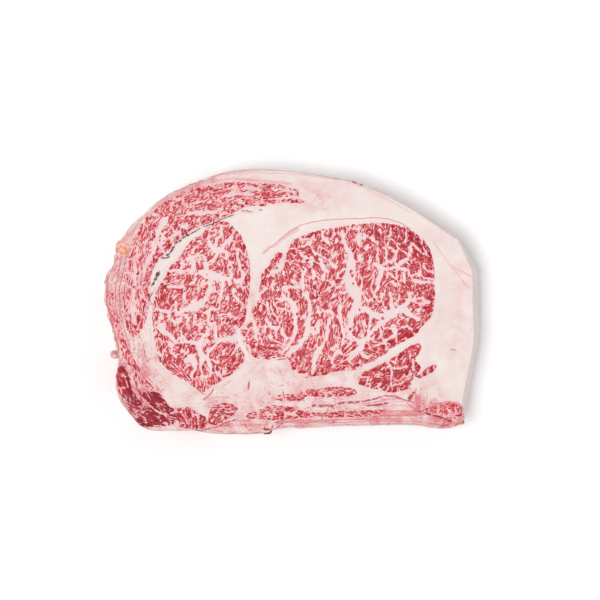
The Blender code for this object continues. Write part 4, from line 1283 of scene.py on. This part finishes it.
def line_field(points, lines):
    """Signed distance to the nearest of some thin lines, its half width, and its value where it is near."""
    found = np.tile(np.array((OUTSIDE, 1.0, 0.0)), (len(points), 1))
    for run, width, value in lines:
        near = near_curve(points, np.array(run, dtype=float), LINE_REACH)
        distance, side, _ = nearest_on_run(points[near], run)
        closer = distance < np.abs(found[near, 0])
        fade = smooth_step((LINE_REACH - distance) / (LINE_REACH - width / 2.0))
        values = np.column_stack((distance * side, np.full(len(near), width / 2.0), value * fade))
        found[near] = np.where(closer[:, None], values, found[near])
    return found


def spot_field(points, spots):
    """The strongest of some soft oval spots at each point, or the weakest where a spot is negative."""
    total = np.zeros(len(points))
    for x, y, across, up, strength in spots:
        spread = np.exp(-(((points[:, 0] - x) / across) ** 2) - ((points[:, 1] - y) / up) ** 2)
        total = np.where(np.abs(strength * spread) > np.abs(total), strength * spread, total)
    return total


def streak_field(places, outline):
    """Depth in from the block's side, length along it, and how streaky the fat and lean are there."""
    along = running_length(outline)
    turned = GRID_ALONG + GRID_ACROSS
    arc = (along - along[turned]) % along[-1]
    run = np.column_stack((outline[:, :2], arc))[::STREAK_STATIONS]
    run = np.roll(run, -(turned // STREAK_STATIONS), axis=0)
    depth, _, arc = nearest_on_run(places, run)
    return np.column_stack((depth, arc[:, 0], spot_field(places, STREAKY)))


def sample_places(points, outline, side_start, side_count):
    """Where the meat's measures are read for each point, and how far down the wall it is.

    The wall shows what lies a little way inside it.
    """
    places = points.copy()
    around = len(outline)
    rows = side_count // around - EDGE_ROWS
    inside = outline[:, :2] - outward(outline[:, :2]) * SIDE_SAMPLE_DEPTH
    part = slice(side_start + EDGE_ROWS * around, side_start + side_count)
    below = np.tile(THICKNESS - outline[:, 3], rows) - points[part, 2]
    share = np.minimum(below / SIDE_EASE, 1.0)[:, None]
    places[part, :2] = np.tile(outline[:, :2], (rows, 1)) * (1.0 - share) + np.tile(inside, (rows, 1)) * share
    wander = noise_pair(points[part], SIDE_WANDER_SIZE, SIDE_WANDER_SEED)
    places[part, :2] += wander * SIDE_WANDER * share
    drop = np.zeros(len(points))
    drop[part] = below
    return places, drop


def side_corners(points, outline, faces):
    """Place across and along the grains for the corners of the side's faces: they run up and down."""
    arc = running_length(closed(outline))
    station = np.arange(len(faces)) % len(outline)
    across = arc[np.stack((station, station + 1, station + 1, station), axis=1)]
    along = points[faces][..., 2] / SIDE_STRETCH
    return np.stack((across, along, 0.0 * across), axis=-1)


def meat_measures(points, outline, side_start, side_count):
    """The meat's measures at the mesh's points by name, the face's height, and the grains' bundles."""
    places, drop = sample_places(points, outline, side_start, side_count)
    wobbled = places[:, :2] + VEIN_WOBBLE * noise_pair(places, VEIN_WOBBLE_SIZE, VEIN_WOBBLE_SEED)
    depth, dark, fatty, height = muscle_fields(places)
    bundle, border, bundle_places = bundle_fields(places)
    gap = np.interp(noise(places, BUNDLE_GAP_SIZE, BUNDLE_GAP_SEED), (-1.0, 1.0), BUNDLE_GAP)
    lean = np.minimum(depth, border - gap)
    veins = EYE_VEINS + INNER_VEINS + CAP_VEINS + FAN_VEINS
    lean = np.minimum(lean, -vein_depth(wobbled, veins))
    lean = np.maximum(lean, speck_depth(wobbled))
    measures = {
        "lean": lean,
        "muscle": depth,
        "dark": dark,
        "fatty": fatty,
        "blush": spot_field(places, BLUSHES),
        "streak": streak_field(places, closed(outline)),
        "pink_line": line_field(places, PINK_RUNS),
        "lean_line": line_field(places, LEAN_STREAKS),
        # Painted shade in the crevice and along the rim, with the dark specks.
        "shade_and_speck": line_field(places, SHADE_AND_SPECK_LINES),
    }
    measures["streak"][:, 0] += drop * SIDE_STREAK_SHARE
    measures["blush"] *= np.where(drop > 0.0, SIDE_BLUSH, 1.0)
    for lines in ("pink_line", "lean_line", "shade_and_speck"):
        measures[lines][drop > 0.0, 0] = OUTSIDE
    return measures, height, bundle, bundle_places


def raise_face(points, height, outline, side_start):
    """Give the cut face its relief, and let the edge's rows follow the rim."""
    points[:side_start, 2] += height[:side_start]
    ring = ring_indices(GRID_ACROSS + 1, GRID_ALONG + 1)
    rim = height[ring]
    around = len(outline)
    for row in range(1, EDGE_ROWS + 1):
        start = side_start + (row - 1) * around
        points[start : start + around, 2] += rim * (1.0 - row / EDGE_ROWS)


def roughen(points, measures, side_start, side_count):
    """Small dents, the crevice and wrinkles of the side, along each point's way out."""
    face = slice(0, side_start)
    dents = FACE_DENT * noise(points[face], FACE_DENT_SIZE, FACE_DENT_SEED)
    dents += VEIN_SINK * (smooth_step(measures["lean"][face] / VEIN_SINK_WIDTH + 0.5) - 1.0)
    # The face sinks along the crevice, rim lines and specks; the dark colour given to the crevice and rim is
    # painted shade.
    shade_and_speck = measures["shade_and_speck"][face]
    cut = np.exp(-((shade_and_speck[:, 0] / (shade_and_speck[:, 1] + CRACK_EASE)) ** 2)) * shade_and_speck[:, 2]
    points[face, 2] += dents - CRACK_DEPTH * cut
    side = slice(side_start, side_start + side_count)
    flattened = points[side] * np.array((1.0, 1.0, 1.0 / SIDE_STRETCH))
    wrinkle = SIDE_WRINKLE * (noise(flattened, SIDE_WRINKLE_SIZE, SIDE_WRINKLE_SEED) - 1.0)
    wrinkle += CRAGS * measures["streak"][side, 2] * noise(flattened, CRAG_SIZE, CRAG_SEED)
    wrinkle = wrinkle * smooth_step(points[side, 2] / BASE_ROUNDING)
    middle = points[side, :2] / np.linalg.norm(points[side, :2], axis=1, keepdims=True)
    points[side, :2] += middle * wrinkle[:, None]


def map_face(points, faces):
    """Places in the flat map for faces of the top or base: as seen from above."""
    return (points[faces][..., :2] + np.array(MAP_ZERO)) * MAP_SHARE


def block_map(points, quads, triangles, counts):
    """The flat map of all faces, one pair of numbers for each corner of each face."""
    top_quads, side_quads, around = counts
    top = map_face(points, quads[:top_quads])
    side = []
    number = np.arange(side_quads)
    station, row = number % around, number // around
    half = around // 2
    for next_station, next_row in ((0, 0), (1, 0), (1, 1), (0, 1)):
        u = (station % half + next_station) / half
        v = SIDE_MAP_START - (row + next_row) / (side_quads // around) * SIDE_MAP_HEIGHT
        v = v - (station // half) * SIDE_MAP_STEP
        side.append(np.column_stack((u, v)))
    side = np.stack(side, axis=1)
    base_quads = map_face(points, quads[top_quads + side_quads :]) * BASE_MAP_SHARE + np.array(BASE_MAP_ZERO)
    base_triangles = map_face(points, triangles) * BASE_MAP_SHARE + np.array(BASE_MAP_ZERO)
    return np.vstack([part.reshape(-1, 2) for part in (top, side, base_quads, base_triangles)])


def make_mesh(name, points, faces, corners, measures):
    """A mesh in metres about the block's middle, with its flat map and its measures."""
    mesh = bpy.data.meshes.new(name)
    world = (points - np.array((*MIDDLE, 0.0))) * METRES_PER_MM
    mesh.from_pydata(world.tolist(), [], faces)
    mesh.polygons.foreach_set("use_smooth", np.ones(len(mesh.polygons), dtype=bool))
    if corners is not None:
        mesh.uv_layers.new(name="OFBake").data.foreach_set("uv", corners.ravel())
    for measure, values in measures.items():
        domain = "POINT" if len(values) == len(points) else "CORNER"
        kind, value_name = ("FLOAT", "value") if values.ndim == 1 else ("FLOAT_VECTOR", "vector")
        layer = mesh.attributes.new(measure, kind, domain)
        layer.data.foreach_set(value_name, values.astype(np.float32).ravel())
    mesh.update()
    block = bpy.data.objects.new(name, mesh)
    bpy.context.collection.objects.link(block)
    return block


def make_roast(material):
    points, quads, triangles, outline, side_count = block_points_and_faces()
    side_start = (GRID_ALONG + 1) * (GRID_ACROSS + 1)
    measures, height, bundle, places = meat_measures(points, outline, side_start, side_count)
    raise_face(points, height, outline, side_start)
    roughen(points, measures, side_start, side_count)
    top_quads = GRID_ALONG * GRID_ACROSS
    edge_quads = top_quads + EDGE_ROWS * len(outline)
    grains = (
        grain_corners(places, bundle, quads[:edge_quads]),
        side_corners(points, outline, quads[edge_quads : top_quads + side_count]),
        grain_corners(places, bundle, quads[top_quads + side_count :]),
        grain_corners(places, bundle, triangles),
    )
    measures["fibre"] = np.vstack([part.reshape(-1, 3) for part in grains])
    corners = block_map(points, quads, triangles, (top_quads, side_count, len(outline)))
    roast = make_mesh("roast", points, quads.tolist() + triangles.tolist(), corners, measures)
    roast.data.materials.append(material)
    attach(roast, "root")
    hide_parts(NODE)


def make_lump(name, place, radii, material, seed):
    """A small lump of fat or lean on the rim: a ball, stretched and dented."""
    bm = bmesh.new()
    bmesh.ops.create_icosphere(bm, subdivisions=LUMP_DIVISIONS, radius=1.0)
    unit = np.array([vertex.co for vertex in bm.verts])
    scaled = unit * np.array(radii)
    dent = 1.0 + LUMP_DENT * noise(scaled + seed, min(radii) * LUMP_DENT_SHARE, seed)
    x, y, below = place
    points = np.array((x, y, THICKNESS - below)) + scaled * dent[:, None]
    faces = [[vertex.index for vertex in face.verts] for face in bm.faces]
    bm.free()
    lump = make_mesh(name, points, faces, None, {})
    lump.data.materials.append(material)
    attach(lump, "root")


def linear(red, green, blue):
    """A colour given as screen values from 0 to 255, as the renderer wants it."""
    lit = []
    for value in (red, green, blue):
        shown = value / SCREEN_TOP
        foot = shown / SCREEN_FOOT_SLOPE
        curve = ((shown + SCREEN_OFFSET) / (1.0 + SCREEN_OFFSET)) ** SCREEN_POWER
        lit.append((foot if shown <= SCREEN_FOOT else curve) / LIGHT_FROM_ABOVE)
    return (*lit, 1.0)


class Graph:
    """Short ways to add and join the nodes of one material."""

    def __init__(self, name):
        self.material = bpy.data.materials.new(name)
        self.material.use_nodes = True
        self.nodes = self.material.node_tree.nodes
        self.links = self.material.node_tree.links
        self.nodes.clear()

    def add(self, kind, **settings):
        node = self.nodes.new(kind)
        for setting, value in settings.items():
            setattr(node, setting, value)
        return node

    def feed(self, socket, value):
        """Join a socket to another one, or set its plain value."""
        if isinstance(value, bpy.types.NodeSocket):
            self.links.new(value, socket)
        else:
            socket.default_value = value

    def measure(self, name):
        return self.add("ShaderNodeAttribute", attribute_name=name).outputs["Fac"]

    def vector_measure(self, name):
        return self.add("ShaderNodeAttribute", attribute_name=name).outputs["Vector"]

    def parts(self, vector):
        node = self.add("ShaderNodeSeparateXYZ")
        self.feed(node.inputs[0], vector)
        return node.outputs

    def join(self, x, y, z):
        node = self.add("ShaderNodeCombineXYZ")
        for socket, value in zip(node.inputs, (x, y, z)):
            self.feed(socket, value)
        return node.outputs[0]

    def math(self, operation, first, second=0.0, third=0.0):
        node = self.add("ShaderNodeMath", operation=operation)
        for socket, value in zip(node.inputs, (first, second, third)):
            self.feed(socket, value)
        return node.outputs[0]

    def vector(self, operation, first, second):
        node = self.add("ShaderNodeVectorMath", operation=operation)
        self.feed(node.inputs[0], first)
        self.feed(node.inputs[1], second)
        return node.outputs[0]

    def rise(self, value, low, high, floor=0.0, top=1.0):
        """A smooth change from floor to top as the value goes from low to high."""
        node = self.add("ShaderNodeMapRange", interpolation_type="SMOOTHSTEP")
        for socket, number in zip(node.inputs, (value, low, high, floor, top)):
            self.feed(socket, number)
        return node.outputs[0]

    def times(self, first, second):
        return self.math("MULTIPLY", first, second)

    def blend(self, share, first, second):
        """A mix of two colours, each either a socket or a colour as it shows on the screen."""
        node = self.add("ShaderNodeMix", data_type="RGBA")
        self.feed(node.inputs[0], share)
        for number, colour in zip(MIX_COLOURS, (first, second)):
            self.feed(node.inputs[number], linear(*colour) if isinstance(colour, tuple) else colour)
        return node.outputs[MIX_RESULT]

    def noise(self, vector, size, detail=2.0, output=0):
        """Noise about 0.5, with features of the given size in the vector's units."""
        node = self.add("ShaderNodeTexNoise")
        self.feed(node.inputs["Vector"], vector)
        node.inputs["Scale"].default_value = 1.0 / size
        node.inputs["Detail"].default_value = detail
        return node.outputs[output]

    def swing(self, vector, size, detail=2.0):
        """Noise about zero."""
        return self.math("SUBTRACT", self.noise(vector, size, detail), 0.5)

    def ramp(self, value, stops):
        """A colour chosen by a value from 0 to 1, through colours at given places."""
        node = self.add("ShaderNodeValToRGB")
        elements = node.color_ramp.elements
        while len(elements) < len(stops):
            elements.new(1.0)
        for element, (position, colour) in zip(elements, stops):
            element.position = position
            element.color = linear(*colour)
        self.feed(node.inputs[0], value)
        return node.outputs[0]

    def object_mm(self):
        place = self.add("ShaderNodeTexCoord").outputs["Object"]
        return self.vector("DIVIDE", place, (METRES_PER_MM, METRES_PER_MM, METRES_PER_MM))

    def surface(self, colour, roughness, height, strength, specular):
        """End the material with one shader that has the given colour, roughness and bumps."""
        bump = self.add("ShaderNodeBump")
        bump.inputs["Strength"].default_value = strength
        bump.inputs["Distance"].default_value = BUMP_DISTANCE
        self.feed(bump.inputs["Height"], height)
        shader = self.add("ShaderNodeBsdfPrincipled")
        self.feed(shader.inputs["Base Color"], colour)
        self.feed(shader.inputs["Roughness"], roughness)
        self.feed(shader.inputs["Normal"], bump.outputs[0])
        shader.inputs["Specular IOR Level"].default_value = specular
        output = self.add("ShaderNodeOutputMaterial")
        self.links.new(shader.outputs[0], output.inputs[0])
        return self.material


def bent_fibre(graph):
    """Places across and along the grains, bent so that the grains wind."""
    fibre = graph.vector_measure("fibre")
    wobble = graph.noise(fibre, GRAIN_WOBBLE_SIZE, output=NOISE_COLOUR)
    wobble = graph.vector("SUBTRACT", wobble, (0.5, 0.5, 0.5))
    wobble = graph.vector("MULTIPLY", wobble, GRAIN_WOBBLE)
    return graph.vector("ADD", fibre, wobble)


def lean_depth_nodes(graph, bent):
    """How deep each point lies in its grain, and whether it is in lean at all, 0 to 1."""
    grain_place = graph.vector("DIVIDE", bent, GRAIN_SIZE)
    dark = graph.measure("dark")
    raggedness = graph.rise(dark, *WINE_DARK, RAGGED, FLANK_RAGGED)
    ragged = graph.swing(grain_place, RAGGED_SIZE)
    lean = graph.math("MULTIPLY_ADD", ragged, raggedness, graph.measure("lean"))
    level = graph.math("MULTIPLY_ADD", graph.measure("fatty"), FATTY_LEVEL, GRAIN_LEVEL)
    denser = graph.math("SUBTRACT", dark, DENSER_FROM)
    level = graph.math("MULTIPLY_ADD", denser, -DARK_DENSER, level)
    level = graph.math("ADD", level, graph.rise(lean, 0.0, VEIN_EASE, VEIN_LEVEL, 0.0))
    depth = graph.math("SUBTRACT", graph.noise(grain_place, 1.0, GRAIN_DETAIL), level)
    thread = graph.swing(graph.vector("DIVIDE", bent, THREAD_SIZE), 1.0, detail=1.0)
    thread = graph.math("ABSOLUTE", thread)
    depth = graph.math("SUBTRACT", depth, graph.rise(thread, 0.0, THREAD_WIDTH, THREAD_CUT, 0.0))
    return depth, graph.rise(lean, *LEAN_RANGE)


def redness_nodes(graph, depth, bent, place):
    """How red the lean is, 0 to 1: the grains' rims are darker than their hearts, some grains more."""
    dark = graph.measure("dark")
    haze = graph.rise(dark, *WINE_DARK, HAZE_RED, FLANK_HAZE_RED)
    inside = graph.rise(depth, -GRAIN_SOFTNESS, GRAIN_SOFTNESS)
    red = graph.rise(depth, -HAZE, 0.0, 0.0, haze)
    red = graph.math("MULTIPLY_ADD", inside, graph.math("SUBTRACT", GRAIN_RED, haze), red)
    paler = graph.rise(dark, *HEART_DARK, -HEART_PALER, 0.0)
    red = graph.math("MULTIPLY_ADD", graph.rise(depth, *HEART_RANGE), paler, red)
    grain_place = graph.vector("DIVIDE", bent, GRAIN_SIZE)
    change = graph.times(graph.swing(grain_place, GRAIN_CHANGE_SIZE, detail=1.0), GRAIN_CHANGE)
    uneven = graph.swing(place, DARK_CHANGE_SIZE, detail=3.0)
    change = graph.math("MULTIPLY_ADD", uneven, DARK_CHANGE, change)
    darker = graph.math("SUBTRACT", dark, REDDER_FROM)
    change = graph.math("MULTIPLY_ADD", darker, DARK_REDDER, change)
    return graph.math("MULTIPLY_ADD", change, inside, red)


def line_share(graph, name, place, softness):
    """Where a thin line shows, 0 to 1, and the line's value there."""
    distance, half_width, value = graph.parts(graph.vector_measure(name))
    wander = graph.swing(place, LINE_WANDER_SIZE, detail=1.0)
    distance = graph.math("ABSOLUTE", graph.math("MULTIPLY_ADD", wander, LINE_WANDER, distance))
    share = graph.math("DIVIDE", distance, half_width)
    return graph.rise(share, 1.0 - softness, 1.0 + softness, 1.0, 0.0), value


def fat_colour_nodes(graph, place):
    """The fat: pinkish between the grains, creamy in the cap, with blushes and fine streaks."""
    mottle = graph.rise(graph.noise(place, MOTTLE_SIZE), *MOTTLE_RANGE, LEAST_PINK, 1.0)
    mottle = graph.times(mottle, graph.rise(graph.measure("lean"), *VEIN_HEART, LEAST_PINK, 1.0))
    vein = graph.blend(mottle, VEIN_FAT, PINK_VEIN_FAT)
    colour = graph.blend(graph.rise(graph.measure("muscle"), *MUSCLE_BORDER), CREAM_FAT, vein)
    cloud = graph.rise(graph.noise(place, CLOUD_SIZE, detail=4.0), *CLOUD_RANGE)
    colour = graph.blend(graph.times(cloud, CLOUD_STRENGTH), colour, PALE_PINK_FAT)
    patch = graph.rise(graph.noise(place, PATCH_SIZE, detail=6.0), *PATCH_RANGE)
    patch = graph.math("MULTIPLY_ADD", patch, PATCHY_BLUSH, EVEN_BLUSH)
    blush = graph.times(graph.measure("blush"), patch)
    colour = graph.blend(blush, colour, BLUSH_RED)
    speck = graph.rise(graph.noise(graph.vector("DIVIDE", place, SPECK_SIZE), 1.0), *SPECK_RANGE)
    speck = graph.times(speck, graph.rise(blush, 0.0, FULL_SPECK_BLUSH))
    colour = graph.blend(speck, colour, LINE_RED)
    return graph.blend(graph.times(streak_nodes(graph), STREAK_STRENGTH), colour, STREAK_RED)


def streak_nodes(graph):
    """Where long thin streaks follow the block's side, 0 to 1."""
    depth, arc, weight = graph.parts(graph.vector_measure("streak"))
    place = graph.join(depth, arc, 0.0)
    lines = graph.noise(graph.vector("DIVIDE", place, STREAK_SIZE), 1.0, detail=3.0)
    lines = graph.rise(lines, *STREAK_RANGE)
    broken = graph.noise(place, STREAK_BREAK_SIZE)
    broken = graph.rise(broken, *STREAK_BREAK_RANGE, STREAK_BREAK_LEAST, 1.0)
    return graph.times(graph.times(lines, weight), broken)


def lined_fat_nodes(graph, place, broken):
    """The fat with its membranes, bloody lines and broken runs of lean."""
    fat = fat_colour_nodes(graph, place)
    pink, strength = line_share(graph, "pink_line", place, PINK_SOFTNESS)
    fat = graph.blend(graph.times(pink, strength), fat, LINE_RED)
    streak, darkness = line_share(graph, "lean_line", place, LEAN_LINE_SOFTNESS)
    streak_colour = graph.blend(darkness, STREAK_RED, RIM_WINE)
    return graph.blend(graph.times(streak, broken), fat, streak_colour)


def lean_colour_nodes(graph, red):
    """The lean's colour by how red it is, turned to wine where the meat is darkest."""
    wine = graph.times(graph.rise(graph.measure("dark"), *WINE_DARK), graph.rise(red, *WINE_RED))
    return graph.blend(graph.times(wine, WINE_STRENGTH), graph.ramp(red, LEAN_COLOURS), FLANK_WINE)


def shade_and_speck_nodes(graph, place, broken, colour):
    """A colour with painted shade in the crevice and along the rim, and the dark specks of dried blood, over
    it.
    """
    shade_and_speck, strength = line_share(graph, "shade_and_speck", place, SHADE_AND_SPECK_SOFTNESS)
    kept = graph.math("MULTIPLY_ADD", broken, SHADE_AND_SPECK_BROKEN, 1.0 - SHADE_AND_SPECK_BROKEN)
    shade_and_speck = graph.times(graph.times(shade_and_speck, kept), graph.rise(strength, *SHADE_AND_SPECK_RANGE))
    return graph.blend(graph.times(shade_and_speck, SHADE_AND_SPECK_STRENGTH), colour, SHADE_AND_SPECK_DARK)


def beef_material():
    graph = Graph("beef")
    place = graph.object_mm()
    bent = bent_fibre(graph)
    depth, body = lean_depth_nodes(graph, bent)
    red = graph.times(redness_nodes(graph, depth, bent, place), body)
    broken = graph.rise(graph.noise(place, BREAK_SIZE), *BREAK_RANGE)
    fat = lined_fat_nodes(graph, place, broken)
    share = graph.rise(red, 0.0, LEAN_COLOURS[0][0])
    colour = graph.blend(share, fat, lean_colour_nodes(graph, red))
    colour = shade_and_speck_nodes(graph, place, broken, colour)
    roughness = graph.rise(graph.noise(place, DAMP_SIZE, detail=3.0), *NOISE_SPAN, *DAMP_ROUGHNESS)
    grit = graph.times(graph.noise(place, GRIT_SIZE, detail=3.0), GRIT)
    height = graph.math("MULTIPLY_ADD", red, GRAIN_HEIGHT, grit)
    return graph.surface(colour, roughness, height, BUMP_STRENGTH, SPECULAR)


def lump_material(name, colours, size):
    """Dried fat or lean of a small lump, mottled between two colours."""
    graph = Graph(name)
    mottle = graph.noise(graph.object_mm(), size, detail=3.0)
    colour = graph.blend(graph.rise(mottle, *LUMP_MOTTLE_RANGE), *colours)
    roughness = graph.rise(mottle, *NOISE_SPAN, *LUMP_ROUGHNESS)
    return graph.surface(colour, roughness, mottle, BUMP_STRENGTH, SPECULAR)


def make_lumps():
    for name, place, radii, material, colours, size, seed in LUMPS:
        make_lump(name, place, radii, lump_material(material, colours, size), seed)


def make_floor():
    bm = bmesh.new()
    bmesh.ops.create_grid(bm, x_segments=1, y_segments=1, size=FLOOR_HALF)
    mesh = bpy.data.meshes.new("floor")
    bm.to_mesh(mesh)
    bm.free()
    floor = bpy.data.objects.new("floor", mesh)
    bpy.context.collection.objects.link(floor)
    graph = Graph("floor_white")
    grain = graph.noise(graph.object_mm(), FLOOR_GRAIN_SIZE)
    roughness = graph.rise(grain, *NOISE_SPAN, *FLOOR_ROUGHNESS)
    floor.data.materials.append(graph.surface(FLOOR_COLOUR, roughness, grain, 0.0, FLOOR_SPECULAR))


def light_scene():
    """A bright even surround, and a soft key almost overhead that leans in from the lower left."""
    world = bpy.data.worlds.new("surround")
    bpy.context.scene.world = world
    world.use_nodes = True
    background = world.node_tree.nodes["Background"]
    background.inputs["Color"].default_value = (1.0, 1.0, 1.0, 1.0)
    background.inputs["Strength"].default_value = SURROUND_STRENGTH
    key = bpy.data.lights.new("key", "SUN")
    key.energy = KEY_STRENGTH
    key.angle = math.radians(KEY_WIDTH)
    lamp = bpy.data.objects.new("key", key)
    bpy.context.collection.objects.link(lamp)
    lean, bearing = math.radians(KEY_LEAN), math.radians(KEY_BEARING)
    towards = Vector((math.cos(bearing) * math.sin(lean), math.sin(bearing) * math.sin(lean), math.cos(lean)))
    lamp.rotation_euler = towards.to_track_quat("Z", "Y").to_euler()
    bpy.context.scene.view_settings.view_transform = "Standard"


def place_camera():
    """Straight above the face, so far off that a photograph pixel spans its true size on the face."""
    camera = bpy.data.cameras.new("camera")
    width = PHOTO_PIXELS * MM_PER_PIXEL * METRES_PER_MM
    camera.sensor_width = SENSOR_WIDTH
    camera.lens = SENSOR_WIDTH * CAMERA_DISTANCE / width
    camera.clip_end = CAMERA_REACH
    eye = bpy.data.objects.new("camera", camera)
    bpy.context.collection.objects.link(eye)
    half = PHOTO_PIXELS / 2.0
    x = ((half - ZERO_PIXEL[0]) * MM_PER_PIXEL - MIDDLE[0]) * METRES_PER_MM
    y = ((ZERO_PIXEL[1] - half) * MM_PER_PIXEL - MIDDLE[1]) * METRES_PER_MM
    eye.location = (x, y, THICKNESS * METRES_PER_MM + CAMERA_DISTANCE)
    bpy.context.scene.camera = eye


make_roast(beef_material())
make_lumps()
make_floor()
light_scene()
place_camera()
